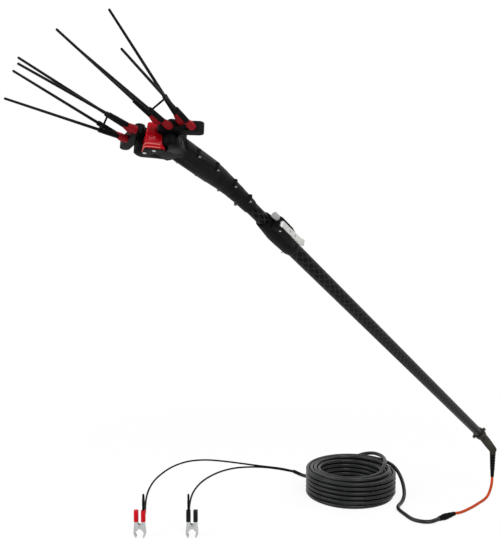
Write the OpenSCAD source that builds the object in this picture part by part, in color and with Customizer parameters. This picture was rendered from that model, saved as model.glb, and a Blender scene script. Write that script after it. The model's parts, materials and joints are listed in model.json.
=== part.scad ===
// Electric olive harvester: telescopic carbon pole, gear-motor head with two opposed combs,
// and a supply cable with battery clamps that lies on the ground beside it.
// The origin is on the pole's axis at the hand grip. +Z is up and +X runs along the pole, towards the head.

/* [Pole] */
// Outside diameter of the outer tube
pole_d = 32; // [30:0.5:34]
// Wall of both tubes
tube_wall = 2; // [1.5:0.1:2.2]
// Outside diameter of the inner tube
inner_d = 26; // [24:0.5:26]
// Tilt of the pole above the ground, degrees
pole_tilt = 27; // [20:1:35]
// From the hand grip down to the foot of the outer tube
grip_to_foot = 424; // [400:1:450]
// From the hand grip up to the lever clamp
grip_to_clamp = 1250; // [1100:1:1300]
// Length of inner tube inside the outer one, drawn in
inner_in_outer = 950; // [880:1:1000]
// From the lever clamp's foot to the head
clamp_to_head = 188; // [180:1:220]

/* [Lever clamp] */
// Length of the clamp sleeve
sleeve_l = 135; // [130:1:140]
// Wall of the sleeve at its middle
sleeve_wall = 5; // [4.5:0.1:6]
// Turn of the clamp about the pole, degrees
clamp_roll = -86; // [-110:1:-60]
// Width of the lever
lever_w = 14; // [12:0.5:15]
// Length of the lever
lever_l = 84; // [78:1:88]

/* [Head] */
// Turn of the head about the pole, degrees
head_roll = 190; // [180:1:200]
// Bend of the neck, degrees
neck_bend = 8.3; // [7.5:0.1:9]
// Radius of the motor barrel
barrel_r = 21.5; // [21.4:0.1:22.5]
// Wall of the housing
shell_wall = 3; // [2.6:0.1:3.4]
// Diameter of the motor
motor_d = 36; // [35:0.1:36.2]
// Half of the distance between the comb shafts
shaft_y = 29; // [28.5:0.1:29.5]
// Diameter of the comb shafts
shaft_d = 10; // [9:0.5:11]
// Half width of the red nose cover
cover_w = 14.5; // [14:0.1:14.8]

/* [Combs] */
// Sweep of the comb bars behind square, degrees
bar_sweep = 29.5; // [28:0.5:31]
// Width of a comb bar
bar_w = 17; // [16:0.5:17]
// Thickness of a comb bar
bar_t = 17; // [15.5:0.5:17]
// Distance between rod sockets
rod_pitch = 17.5; // [17:0.1:18]
// Length from the bar to a rod's tip
rod_l = 250; // [220:1:270]
// Diameter of a rod at its root
rod_d = 5; // [4.5:0.1:5.5]

/* [Cable] */
// Diameter of the black supply cable
cable_d = 14; // [13.6:0.1:14]
// Diameter of the orange cable
orange_d = 10; // [9:0.5:10]
// Diameter of the battery leads
lead_d = 7; // [6:0.5:7]
// Turns in the coil
coil_turns = 23.78; // [21.78:1:23.78]
// Radius of the coil's outer layer
coil_r = 163.8; // [162:0.1:166]

/* [Battery clamps] */
// Height of a battery clamp
croc_h = 90; // [86:1:94]
// Depth of the wider jaw
croc_w = 16; // [15:0.5:18]
// Thickness of the jaw's sheet
croc_t = 1.2; // [1:0.1:1.5]

/* [Hidden] */
$fn = 48;

// Fits: running clearance, clearance between bodies, overrun of cuts
run_gap = 0.05;
body_gap = 0.4;
over = 1;

// Pole
pole_r = pole_d / 2;
pole_bore_r = pole_r - tube_wall;
inner_r = inner_d / 2;
foot_x = -grip_to_foot;
clamp_x = grip_to_clamp;
tube_in_clamp = 70;
head_x = clamp_x + clamp_to_head;
inner_socket = 45;
guide_l = 20;
inner_low_x = clamp_x + tube_in_clamp - inner_in_outer;

// Lever clamp, measured from the clamp's foot along the pole
sleeve_start = -5;
sleeve_profile_shares = [[0, 0.3], [0.07, 0.75], [0.45, 1], [0.6, 1], [0.9, 0.35], [1, 0.1]];
housing_w = 26;
housing_x0 = 22;
housing_x1 = 118;
housing_h = 14;
housing_base = pole_r - body_gap * 8;
housing_profile_shares = [[0, 0], [1, 0], [1, 0.82], [0.9, 1], [0.42, 1], [0.05, 0.62]];
lever_x = 100;
lever_up = 13;
lever_z = inner_r + lever_up;
lever_pin_r = 2.5;
cam_r = 7;
lever_t = 4;
lever_slot = lever_w + body_gap * 2;
shoe_l = 24;
shoe_w = lever_w - body_gap;
shoe_z0 = inner_r + body_gap;
shoe_z1 = lever_z - cam_r - body_gap;
knob_r = 6.5;
knob_l = 13;
knob_drop = 1.5;
knob_z = lever_z - knob_drop;
knob_y = -8;
knob_screw_r = 2.5;
knob_screw_l = 5;
knob_flutes = 8;
flute_r = 1.2;
screw_head_r = 3;
screw_head_h = 2;
screw_r = 1.5;

// Foot elbow: collar round the tube, quarter bend, spout, ball and a nose that points down
elbow_roll = 45;
collar_l = 40;
collar_wall = 4;
elbow_r = 15.5;
elbow_bend_r = 26;
elbow_straight = 17;
spout_l = 31;
ball_r = 14;
nose_r = 11;
nose_l = 18;
lug_r = 5;
lug_reach = 23;
lug_w = 10;
lug_x = 28;
boot_top_r = 10;
boot_tip_r = 6.2;
boot_ribs = 5;
boot_rib_h = 1;
floor_z = -430;
boot_tip_up = 78;
boot_tip_z = floor_z + boot_tip_up;

// Head. Its frame has x forwards, y towards the left comb and z towards the underside.
neck_wall = 1.8;
neck_r = inner_r + neck_wall;
neck_step = 0.3;
neck_straight = 50;
neck_piece = 32.7;
neck_bends = 4;
neck_front = 184;
neck_swell_shares = [0, 0.18, 0.36, 0.62, 0.94];
motor_r = motor_d / 2;
gearbox_r = motor_r - neck_wall / 2;
motor_x = -182;
motor_l = 68;
gearbox_l = 40;
barrel_front = -76;
head_fit = 0.2;
boss_r = 4.2;
boss_h = 7;
boss_sink = 0.6;
boss_stations_shares = [0.1, 0.34, 0.62, 0.86];

// Gear case under the combs: a wedge in the middle and a boss round each shaft
shaft_x = -17;
case_top = 12;
case_front = 9.5;
case_back_z = 21;
case_mid_x = -24;
case_mid_z = 30;
case_bottom = 33;
case_half_w = 18.5;
case_nose_w = 12;
case_chamfer = 5.5;
boss_shaft_r = 12;
boss_low_z = 28.8;
web_front = -14.4;
web_z = 22.5;
chamber_gap = 0.4;
bridge_w = 19;
bridge_front = -24;
bridge_profile_shares = [[0, 0], [0, 1], [0.55, 0.88], [1, 0.7], [1, 0]];
cavity_w = 15.6;
cavity_back = -71;
cavity_top = -13;

// Red cover: a nose between the comb bars, with a skirt round the front of the gears
cover_back = bridge_front + body_gap;
cover_front = 4;
cover_top = -17;
cover_bottom = 28;
cover_round = 12;
cover_rib_z_shares = [0.8, 0.9];
cover_rib_h = 1.4;
cover_rib_out = 0.9;
cover_rib_back = -2.6;
cover_screw_l = 6;
cover_screw_seat = 31;
skirt_back = -14;
skirt_nose = [-1, 13];
skirt_side = [-7.5, 19.5];
skirt_end_y = 21.5;

// Drive: crank pin in a fork on the left comb's shaft; the combs are geared to each other
comb_swing = 24;
crank_turn = 120;
crank_r = 10;
crank_t = 6;
crank_x = -68;
crank_throw = 7.2;
crank_pin_r = 2.5;
crank_pin_l = 26;
crank_shaft_r = 4;
fork_arm = [-30, -29];
fork_gap = 4.6;
fork_wall = 2.5;
fork_l = 6;
fork_top = -10;
fork_t = 3.5;
fork_arm_w = 9;
gear_teeth = 29;
gear_mod = 2 * shaft_y / gear_teeth;
gear_t = 4.5;
gear_backlash = 0.35;
gear_hub_r = 9;
gear_pressure = 20;
bush_wall = 2;
bush_l = 3.2;
chamber_top = case_top + bush_l;
fork_z = chamber_top + chamber_gap;
gear_z = fork_z + fork_t + chamber_gap;
fork_room_z = gear_z;
chamber_bottom = gear_z + gear_t + chamber_gap;
shaft_end = chamber_bottom + bush_l;
hub_room_r = gear_hub_r + body_gap * 1.5;
gear_room_shares = [[0.64, 0.14], [0.276, 0.655], [0.276, 1], [-0.276, 1], [-0.276, 0.655], [-0.64, 0.14]];

// Combs: the right one is described; the left one is the same moulding turned half round
bar_first_y = 20;
bar_z = 2.4;
bar_start_r = 3;
bar_end_r = 60;
bar_hub_r = 10.5;
bar_hub_z = bar_z + bar_t / 2 + run_gap * 2;
shaft_top = -bar_hub_z;
rod_first = 0;
rod_count = 4;
rod_row_z = 3.2;
rod_mid_z = 1;
// How far each rod is turned outwards and towards the underside, degrees: right comb, then left comb
rod_fan = [[0.1, 5.4, 8.7, 10.1], [5.4, 4.1, 7.8, 2.9]];
rod_lean = [[-6, 1.6, -11.7, 1.5], [-0.9, 1.4, -8.4, 0.3]];
socket_l = 31;
socket_r0 = 6.4;
socket_r1 = 4;
rod_start = bar_w * 0.8;
sleeve_rod_l = 32;
sleeve_rod_r = 4.3;
sleeve_rib_r = 0.55;
sleeve_ribs = 9;
clip_r = 4.2;
clip_l = 8;
rod_tip_r = rod_d * 0.36;
link_r = 1.6;
link_pairs = [[1, 2], [2, 3]];
nut_r = 9;
nut_dome = 4;
nut_flat = 2;

// Connector and battery clamps on the ground
conn_at = [-90, -34];
conn_turn = -22;
conn_l = 80;
conn_r = 11;
conn_neck_r = 8.6;
red_croc_at = [596, -850];
black_croc_at = [505, -703];
croc_turn = 121.7;
croc_pivot_share = 0.4;
croc_pivot_z = croc_h * croc_pivot_share;
croc_half_w = 21;
croc_jaw_shares = [[0.5, 0], [0.71, 0], [1, 0.145], [0.92, 0.355], [0.83, 0.6], [0.31, 0.6], [0.19, 0.49],
    [-0.14, 0.465], [-0.26, 0.4], [-0.14, 0.335], [0.24, 0.3], [0.57, 0.222], [0.69, 0.145], [0.5, 0.055]];
croc_nest = 3.6;
croc_pin_r = 1.95;
croc_pin_head_r = 3.6;
croc_pin_head_h = 1.2;
croc_handle_share = 0.88;
grip_low_share = 0.6;
grip_x = 11.8;
grip_w = 14.5;
grip_deep = 20;
grip_round = 5;
spring_r = 5;
spring_wire = 1.6;
spring_turns = 4;
spring_rings = 8;

// Coil: the outer layer is wound from the top down, the next one up again, and so on
coil_at = [-150, -430];
coil_layers = 4;
coil_row = cable_d * 1.2;
coil_gap = 0.6;
coil_layer = cable_d + coil_gap;
coil_start_turn = 165;
coil_rings = 24;
coil_sides = 6;
layer_turns = (coil_turns - (coil_layers - 1) / 2) / coil_layers;
coil_low_z = floor_z + cable_d / 2;

// Routes of the free cords, from one end to the other
orange_route = [
    [-398, 40, -352], [-398, 40, -366], [-394, 39, -384], [-383, 37, -402], [-366, 34, -416], [-343, 30, -423],
    [-316, 25, -425], [-285, 20, -425], [-252, 15, -425], [-220, 8, -425], [-188, 0, -425], [-156, -9, -423],
    [-138, -15, -420], [-127, -19, -419]
];
supply_route = [
    [-53, -49, -419], [-39, -55, -420], [-20, -67, -422], [-8, -88, -423], [-5, -112, -423], [-10, -131, -423],
    [-22, -149, -423], [-41, -171, -423], [-60, -193, -423], [-79, -209, -423], [-103, -218, -423],
    [-131, -220, -422], [-160, -222, -417], [-193, -230, -405], [-230, -250, -382], [-260, -278, -356],
    [-282, -311, -338], [-296, -346, -331]
];
tail_route = [
    [-171, -311, -325], [-203, -316, -317], [-240, -327, -314], [-278, -347, -313], [-310, -378, -313],
    [-332, -420, -318], [-340, -467, -333], [-334, -508, -357], [-319, -544, -384], [-296, -576, -407],
    [-270, -599, -419], [-250, -613, -423], [-234, -628, -423], [-225, -648, -423], [-223, -668, -423],
    [-228, -685, -423]
];
splitter_end = [-249, -730, -423];
red_route = [
    [-253, -728, -423.5], [-263, -765, -426.5], [-262, -815, -426.5], [-247, -890, -426.5], [-234, -975, -426.5],
    [-219, -1060, -426.5], [-193, -1135, -426.5], [-140, -1185, -426.5], [-60, -1200, -426.5],
    [30, -1188, -426.5], [130, -1157, -426.5], [225, -1110, -426.5], [320, -1048, -426.5], [428, -965, -425],
    [475, -928, -402], [515, -898, -358], [546, -874, -314], [563, -861, -299], [577, -850, -300],
    [588, -842, -314], [590, -840, -340]
];
black_route = [
    [-245, -732, -423.5], [-253, -768, -426.5], [-251, -815, -426.5], [-239, -870, -426.5], [-212, -920, -426.5],
    [-168, -965, -426.5], [-105, -990, -426.5], [-30, -995, -426.5], [55, -983, -426.5], [150, -950, -426.5],
    [240, -902, -426.5], [345, -833, -425], [394, -798, -402], [434, -769, -358], [466, -746, -314],
    [484, -733, -299], [498, -722, -300], [509, -715, -314], [511, -713, -340]
];

// Frames

module tilted() { rotate([0, -pole_tilt, 0]) children(); }
module clamp_frame() { tilted() translate([clamp_x, 0, 0]) rotate([clamp_roll, 0, 0]) children(); }
module foot_frame() { tilted() translate([foot_x, 0, 0]) rotate([elbow_roll, 0, 0]) children(); }
module rolled() { tilted() rotate([head_roll, 0, 0]) children(); }
// The neck is a chain of straight stretches, each turned a little more than the one before
function neck_turn(k) = neck_bend * k / neck_bends;
function neck_dir(k) = [cos(neck_turn(k)), 0, sin(neck_turn(k))];
function neck_len(k) = k == 0 ? neck_straight : neck_piece;
function neck_start(k) = k == 0 ? 0 : neck_straight + (k - 1) * neck_piece;
function neck_joint(k) = k == 0 ? [head_x, 0, 0] : neck_joint(k - 1) + neck_len(k - 1) * neck_dir(k - 1);
function neck_joint_r(k) = neck_r + neck_swell_shares[k] * (barrel_r - neck_r);
neck_total = neck_start(neck_bends) + neck_front + barrel_front;
function neck_part(s) = s < neck_straight ? 0 : min(neck_bends, 1 + floor((s - neck_straight) / neck_piece));
// Radius of the neck at a share of its length
function neck_radius(share) =
    let (s = share * neck_total, k = neck_part(s), t = (s - neck_start(k)) / neck_len(k))
        k == neck_bends ? barrel_r : neck_joint_r(k) + t * (neck_joint_r(k + 1) - neck_joint_r(k));
module head_frame() {
    rolled() translate(neck_joint(neck_bends) + neck_front * neck_dir(neck_bends)) rotate([0, -neck_bend, 0])
        children();
}
// Middle of the neck's axis at a share of its length
module neck_at(share) {
    s = share * neck_total;
    k = neck_part(s);
    rolled() translate(neck_joint(k) + (s - neck_start(k)) * neck_dir(k)) rotate([0, -neck_turn(k), 0])
        children();
}
module croc_frame(at) { translate([at.x, at.y, floor_z]) rotate([0, 0, croc_turn]) children(); }
// The left comb is the right one turned half round the head's axis
module hand(left) { head_frame() rotate([left ? 180 : 0, 0, 0]) children(); }
module shaft_frame(left) { head_frame() translate([shaft_x, left ? shaft_y : -shaft_y, 0]) children(); }

// Shared shapes

module x_rod(x0, x1, r) { translate([x0, 0, 0]) rotate([0, 90, 0]) cylinder(r = r, h = x1 - x0); }
module x_tube(x0, x1, r, bore) {
    difference() {
        x_rod(x0, x1, r);
        x_rod(x0 - over, x1 + over, bore);
    }
}
module y_slab(w) { rotate([90, 0, 0]) translate([0, 0, -w / 2]) linear_extrude(w) children(); }
module z_slab(z0, z1) { translate([0, 0, z0]) linear_extrude(z1 - z0) children(); }
// Turns z to the given direction
module aim(v) {
    rotate([0, acos(v.z / norm(v)), atan2(v.y, v.x)]) children();
}
module pan_screw(length) {
    cylinder(r = screw_r, h = length);
    translate([0, 0, -screw_head_h]) cylinder(r = screw_head_r, h = screw_head_h);
}
function unit(v) = v / norm(v);
// Rings of a tube along points, as a single closed polyhedron
module swept(points, r, sides, ref) {
    n = len(points);
    tangents = [for (i = [0:n - 1]) unit(points[min(i + 1, n - 1)] - points[max(i - 1, 0)])];
    rings = [for (i = [0:n - 1])
        let (a = unit(cross(tangents[i], ref)), b = cross(a, tangents[i]))
            [for (k = [0:sides - 1]) points[i] + r * (cos(360 * k / sides) * a + sin(360 * k / sides) * b)]];
    walls = [for (i = [0:n - 2]) for (k = [0:sides - 1])
        let (a = i * sides + k, b = i * sides + (k + 1) % sides)
            each [[a, b, a + sides], [b, b + sides, a + sides]]];
    first = [for (k = [1:sides - 2]) [0, k + 1, k]];
    last = [for (k = [1:sides - 2]) [(n - 1) * sides, (n - 1) * sides + k, (n - 1) * sides + k + 1]];
    polyhedron([for (ring = rings) each ring], concat(walls, first, last), convexity = 10);
}

// Pole

module outer_tube() {
    color("#1c1d20") tilted() x_tube(foot_x, clamp_x + tube_in_clamp, pole_r, pole_bore_r);
}

module sleeve_outline() {
    points = [for (s = sleeve_profile_shares)
        [pole_r + s[1] * sleeve_wall, sleeve_start + s[0] * sleeve_l]];
    polygon(concat(points, [[inner_r + run_gap, sleeve_start + sleeve_l], [inner_r + run_gap, tube_in_clamp],
        [pole_r + run_gap, tube_in_clamp], [pole_r + run_gap, sleeve_start]]));
}

module housing_outline() {
    polygon([for (s = housing_profile_shares)
        [housing_x0 + s[0] * (housing_x1 - housing_x0), housing_base + s[1] * housing_h + s[1] * sleeve_wall]]);
}

module clamp_sleeve() {
    color("#17181a") clamp_frame() difference() {
        union() {
            rotate([0, 90, 0]) rotate_extrude() sleeve_outline();
            y_slab(housing_w) housing_outline();
        }
        x_rod(sleeve_start - over, tube_in_clamp, pole_r + run_gap);
        x_rod(tube_in_clamp - over, housing_x1 + over, inner_r + run_gap);
        // Slot for the lever and its shoe
        translate([housing_x0 - over, -lever_slot / 2, pole_r + body_gap])
            cube([lever_x + cam_r + lever_t - housing_x0, lever_slot, housing_h * 2]);
        translate([lever_x - shoe_l / 2 - body_gap, -lever_slot / 2, 0])
            cube([shoe_l + body_gap * 2, lever_slot, housing_h * 3]);
        translate([lever_x, housing_w, lever_z]) rotate([90, 0, 0]) cylinder(r = lever_pin_r, h = housing_w * 2);
        translate([0, knob_y, knob_z])
            x_rod(housing_x1 - knob_screw_l - over, housing_x1 + over, knob_screw_r + run_gap);
        sleeve_screw_places() translate([0, 0, -over]) cylinder(r = screw_r + run_gap, h = sleeve_wall * 4);
    }
}

// Two screws on each side of the sleeve's lower half hold it on the tube
module sleeve_screw_places() {
    for (side = [-1, 1])
        translate([tube_in_clamp / 2 - housing_x0, 0, 0])
            rotate([180 - side * 55, 0, 0])
                translate([0, 0, pole_r + sleeve_wall * 0.1]) children();
}

module sleeve_screws() {
    color("#9a9c9e") clamp_frame() sleeve_screw_places()
        translate([0, 0, sleeve_wall]) rotate([180, 0, 0]) pan_screw(sleeve_wall - run_gap);
}

module lever_pin() {
    color("#b4b6b8") clamp_frame() translate([lever_x, 0, lever_z]) rotate([90, 0, 0])
        cylinder(r = lever_pin_r, h = housing_w, center = true);
}

module pressure_shoe() {
    color("#2a2b2d") clamp_frame() difference() {
        translate([lever_x - shoe_l / 2, -shoe_w / 2, 0]) cube([shoe_l, shoe_w, shoe_z1]);
        x_rod(0, housing_x1, shoe_z0);
    }
}

module lever_outline() {
    tail_x = lever_x - lever_l;
    polygon([[lever_x, lever_z + cam_r], [lever_x - cam_r * 2, lever_z + cam_r - 1 / 8 * lever_t],
        [tail_x + lever_t * 2, lever_z + cam_r + lever_t / 2], [tail_x, lever_z + cam_r + lever_t * 1.5],
        [tail_x, lever_z + cam_r + lever_t / 2], [tail_x + lever_t * 2, lever_z + cam_r - lever_t / 2],
        [lever_x - cam_r * 2, lever_z + cam_r - lever_t], [lever_x - cam_r * 0.8, lever_z]]);
}

module clamp_lever() {
    color("#d6d6d2") clamp_frame() difference() {
        union() {
            y_slab(lever_w) lever_outline();
            translate([lever_x, 0, lever_z]) rotate([90, 0, 0]) cylinder(r = cam_r, h = lever_w, center = true);
        }
        translate([lever_x, 0, lever_z]) rotate([90, 0, 0])
            cylinder(r = lever_pin_r + run_gap, h = lever_w + over, center = true);
        // Two lightening slots through the arm
        for (share = [0.35, 0.6])
            translate([lever_x - lever_l * share, 0, lever_z])
                cylinder(r = lever_w / 6, h = lever_l, center = true);
    }
}

module tension_knob() {
    color("#8d8f91") clamp_frame() translate([0, knob_y, knob_z]) difference() {
        union() {
            x_rod(housing_x1 + body_gap, housing_x1 + knob_l, knob_r);
            x_rod(housing_x1 - knob_screw_l, housing_x1 + knob_l / 2, knob_screw_r);
        }
        for (k = [1:knob_flutes])
            rotate([360 / knob_flutes * k, 0, 0]) translate([0, 0, knob_r + flute_r / 3])
                x_rod(housing_x1 + knob_l / 3, housing_x1 + knob_l + over, flute_r);
    }
}

// Foot elbow

function rot_x(v, a) = [v.x, v.y * cos(a) - v.z * sin(a), v.y * sin(a) + v.z * cos(a)];
function rot_tilt(v) =
    [v.x * cos(pole_tilt) - v.z * sin(pole_tilt), v.y, v.x * sin(pole_tilt) + v.z * cos(pole_tilt)];
ball_local = [-elbow_straight - elbow_bend_r, 0, -elbow_bend_r - spout_l];
ball_at = rot_tilt(rot_x(ball_local, elbow_roll) + [foot_x, 0, 0]);

module lug_places() {
    for (side = [-1, 1]) translate([lug_x, side * lug_reach, 0]) children();
}

module end_elbow() {
    color("#4a4740") difference() {
        union() {
            foot_frame() {
                x_rod(-elbow_straight, 0, elbow_r);
                x_rod(-run_gap, collar_l, pole_r + collar_wall);
                translate([-elbow_straight, 0, -elbow_bend_r]) rotate([90, 0, 0]) rotate([0, 0, 90])
                    rotate_extrude(angle = 90) translate([elbow_bend_r, 0]) circle(r = elbow_r);
                translate(ball_local) cylinder(r1 = ball_r, r2 = elbow_r, h = spout_l);
                translate(ball_local) sphere(r = ball_r);
                lug_places() cylinder(r = lug_r, h = lug_w, center = true);
                translate([lug_x - lug_r, -lug_reach, -lug_w / 2]) cube([lug_r * 2, lug_reach * 2, lug_w]);
            }
            translate(ball_at - [0, 0, nose_l]) cylinder(r = nose_r, h = nose_l);
        }
        foot_frame() {
            x_rod(0, collar_l + over, pole_r + run_gap);
            lug_places() cylinder(r = screw_r + run_gap, h = lug_w + over, center = true);
        }
    }
}

module elbow_screws() {
    color("#9a9c9e") foot_frame() lug_places() translate([0, 0, -lug_w / 2]) pan_screw(lug_w);
}

module strain_relief_boot() {
    boot_l = ball_at.z - nose_l - boot_tip_z;
    ribs = [for (k = [0:boot_ribs - 1], edge = [0, 1, 2, 3])
        let (share = 0.12 + 0.62 * (k + [0, 0.15, 0.55, 0.7][edge]) / boot_ribs,
             r = boot_top_r + (boot_tip_r - boot_top_r) * share)
            [r + (edge == 0 || edge == 3 ? 0 : boot_rib_h), -share * boot_l]];
    color("#151515") translate([ball_at.x, ball_at.y, ball_at.z - nose_l])
        rotate_extrude() polygon(concat([[0, 0], [boot_top_r + boot_rib_h, 0]], ribs,
            [[boot_tip_r, -boot_l], [0, -boot_l]]));
}

// Inner tube

module inner_tube() {
    color("#1c1d20") rolled() x_tube(inner_low_x, head_x + inner_socket, inner_r, inner_r - tube_wall);
}

module tube_guide() {
    color("#3a3b3d") rolled()
        x_tube(inner_low_x, inner_low_x + guide_l, pole_bore_r - run_gap, inner_r);
}

// Housing of the head, in two halves that meet on the neck's axis

// Points along the neck's axis, in the frame that has the pole's axis as x
neck_far = neck_joint(neck_bends) + neck_front * 2 * neck_dir(neck_bends);
neck_axis = concat(
    [[head_x - over, 0]],
    [for (k = [1:neck_bends]) [neck_joint(k).x, neck_joint(k).z]],
    [[neck_far.x, neck_far.z]]);

// Everything above or below the axis
module neck_side(upper) {
    far = upper ? -neck_front * 2 : neck_front * 2;
    back = [for (i = [len(neck_axis) - 1:-1:0]) neck_axis[i] + [0, far]];
    rolled() y_slab(neck_front) polygon(concat(neck_axis, back));
}

// Neck and motor barrel, each stretch a little fuller than the one before
module neck_solid() {
    for (k = [0:neck_bends - 1])
        rolled() translate(neck_joint(k)) rotate([0, 90 - neck_turn(k), 0])
            translate([0, 0, k == 0 ? 0 : -over])
                cylinder(r1 = neck_joint_r(k) + (k == 0 ? 0 : neck_step), r2 = neck_joint_r(k + 1),
                    h = neck_len(k) + (k == 0 ? 0 : over));
    head_frame() x_rod(-neck_front - over, barrel_front, barrel_r);
    boss_places(0) cylinder(r = boss_r, h = boss_h * 2, center = true);
}

// Screw bosses on both sides of the neck
module boss_places(out) {
    for (share = boss_stations_shares, side = [-1, 1])
        neck_at(share) translate([0, side * (neck_radius(share) - boss_sink + out), 0]) children();
}

module neck_bores() {
    rolled() x_rod(head_x - over, head_x + inner_socket, inner_r + run_gap);
    head_frame() {
        x_rod(motor_x, motor_x + motor_l, motor_r + head_fit);
        x_rod(motor_x + motor_l - over, motor_x + motor_l + gearbox_l, gearbox_r + head_fit);
        x_rod(barrel_front - over, cavity_back + over, crank_shaft_r * 2);
    }
    boss_places(screw_r) {
        cylinder(r = screw_r + run_gap, h = boss_h * 3, center = true);
        // Seat of the screw's head
        translate([0, 0, boss_h]) cylinder(r = screw_head_r + head_fit, h = boss_h);
    }
}

module shell_screws() {
    color("#8e9092") boss_places(screw_r)
        translate([0, 0, boss_h]) rotate([180, 0, 0]) pan_screw(boss_h * 1.8);
}

// Room for the crank and its fork
module crank_room() {
    translate([cavity_back, -cavity_w, cavity_top])
        cube([bridge_front - cavity_back, cavity_w * 2, fork_z - cavity_top + over]);
}

module bridge(upper) {
    depth = upper ? -barrel_r : case_top + over;
    points = [for (s = bridge_profile_shares)
        [barrel_front + s[0] * (bridge_front - barrel_front), (upper ? s[1] : min(1, s[1] * 2)) * depth]];
    y_slab(bridge_w * 2) polygon(points);
}

module upper_shell() {
    color("#131415") difference() {
        union() {
            neck_solid();
            head_frame() bridge(true);
        }
        neck_side(false);
        neck_bores();
        head_frame() crank_room();
    }
}

// A plan that is the same on both sides, from its points on the left
module both_sides(points) {
    n = len(points);
    polygon(concat(points, [for (i = [n - 1:-1:0]) [points[i].x, -points[i].y]]));
}

module at_shafts() {
    for (side = [-1, 1]) translate([shaft_x, side * shaft_y, 0]) children();
}

// Wedge under the middle, with a lip in front of the cover
module case_wedge() {
    intersection() {
        y_slab(case_half_w * 2) polygon([
            [barrel_front, case_top - over], [web_front, case_top - over], [web_front, cover_bottom + run_gap],
            [case_front, cover_bottom + run_gap], [case_front, case_bottom], [case_mid_x, case_mid_z],
            [barrel_front, case_back_z]]);
        z_slab(case_top, case_bottom + over) both_sides([[case_front, case_nose_w],
            [case_front - case_chamfer, case_half_w], [barrel_front, case_half_w]]);
    }
}

// Room for the sector gears
module gear_room() {
    z_slab(chamber_top, chamber_bottom)
        both_sides([for (s = gear_room_shares) [shaft_x + s[0] * shaft_y, s[1] * shaft_y]]);
    at_shafts() translate([0, 0, chamber_top]) cylinder(r = hub_room_r, h = chamber_bottom - chamber_top);
}

// Room for the fork, behind the gears
module fork_room() {
    z_slab(chamber_top, fork_room_z) both_sides([
        [web_front, shaft_y + shaft_d * 0.9], [shaft_x - shaft_d * 1.5, shaft_y + shaft_d * 0.9],
        [shaft_x - shaft_d * 4.3, cavity_w], [cavity_back, cavity_w]]);
}

module shaft_seats() {
    at_shafts() cylinder(r = shaft_d / 2 + bush_wall, h = shaft_end);
}

module lower_shell() {
    color("#131415") difference() {
        union() {
            neck_solid();
            head_frame() {
                bridge(false);
                case_wedge();
                z_slab(case_top, web_z) both_sides([
                    [web_front, shaft_y + boss_shaft_r - over],
                    [shaft_x - shaft_d * 1.5, shaft_y + boss_shaft_r - over],
                    [shaft_x - shaft_d * 4.7, case_half_w]]);
                at_shafts() translate([0, 0, case_top]) cylinder(r = boss_shaft_r, h = boss_low_z - case_top);
            }
        }
        neck_side(true);
        neck_bores();
        head_frame() {
            crank_room();
            gear_room();
            fork_room();
            shaft_seats();
            z_slab(cover_top, cover_bottom + run_gap) cover_plan(run_gap);
            cover_screw_places() {
                cylinder(r = screw_r + run_gap, h = case_bottom, center = true);
                translate([0, 0, cover_screw_seat - cover_bottom])
                    cylinder(r = screw_head_r + head_fit, h = case_bottom);
            }
        }
    }
}

// Nose cover

module cover_plan(grow) {
    half = cover_w + grow;
    nose = cover_front + grow;
    translate([cover_back - grow, -half]) square([nose - cover_round - cover_back + grow, half * 2]);
    translate([cover_back - grow, cover_round - half])
        square([nose - cover_back + grow, half * 2 - cover_round * 2]);
    for (side = [-1, 1])
        translate([nose - cover_round, side * (half - cover_round)]) circle(r = cover_round);
}

module cover_screw_places() {
    for (side = [-1, 1])
        translate([cover_front - cover_round * 0.35, side * (cover_w - cover_round * 0.45), cover_bottom])
            children();
}

module red_cover() {
    height = cover_bottom - cover_top;
    color("#b20014") head_frame() difference() {
        union() {
            z_slab(cover_top, cover_bottom) cover_plan(0);
            // Skirt round the front of the gears, up to the shaft bosses
            z_slab(case_top + body_gap, cover_bottom)
                both_sides([skirt_nose, skirt_side, [skirt_back, skirt_end_y]]);
            // Two ribs run round the nose near its lower edge
            for (share = cover_rib_z_shares)
                translate([0, 0, cover_top + share * height])
                    linear_extrude(cover_rib_h) intersection() {
                        cover_plan(cover_rib_out);
                        translate([cover_rib_back, -cover_w * 2]) square([cover_w * 2, cover_w * 4]);
                    }
        }
        gear_room();
        at_shafts() cylinder(r = boss_shaft_r + body_gap, h = case_bottom);
        translate([cover_back - over, shell_wall - cover_w, cover_top + shell_wall])
            cube([cover_front - cover_round - cover_back, (cover_w - shell_wall) * 2, chamber_top - cover_top]);
        cover_screw_places() cylinder(r = screw_r + run_gap, h = cover_screw_l, center = true);
    }
}

module cover_screws() {
    color("#a6a8aa") head_frame() cover_screw_places()
        translate([0, 0, cover_screw_seat - cover_bottom]) rotate([180, 0, 0]) pan_screw(cover_screw_l);
}

// Drive

module motor() {
    color("#77797c") head_frame() x_rod(motor_x + run_gap, motor_x + motor_l - over, motor_r);
}

module gearbox() {
    front = motor_x + motor_l + gearbox_l;
    color("#96989b") head_frame() difference() {
        x_rod(motor_x + motor_l - over, front - run_gap, gearbox_r);
        x_rod(front - gearbox_l / 2, front + over, crank_shaft_r + run_gap);
    }
}

module crank() {
    front = motor_x + motor_l + gearbox_l;
    turned = crank_turn / 2;
    color("#c0c2c4") head_frame() {
        x_rod(front - gearbox_l / 2 + over, crank_x + run_gap, crank_shaft_r);
        x_rod(crank_x, crank_x + crank_t, crank_r);
        translate([0, crank_throw * sin(turned), crank_throw * cos(turned)])
            x_rod(crank_x + crank_t - run_gap, crank_x + crank_t + crank_pin_l, crank_pin_r);
    }
}

module shaft_bushes() {
    color("#b08d57") for (left = [false, true]) shaft_frame(left)
        for (z = [case_top, shaft_end - bush_l]) translate([0, 0, z]) difference() {
            cylinder(r = shaft_d / 2 + bush_wall, h = bush_l);
            translate([0, 0, -over]) cylinder(r = shaft_d / 2 + run_gap, h = bush_l + over * 2);
        }
}

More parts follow.
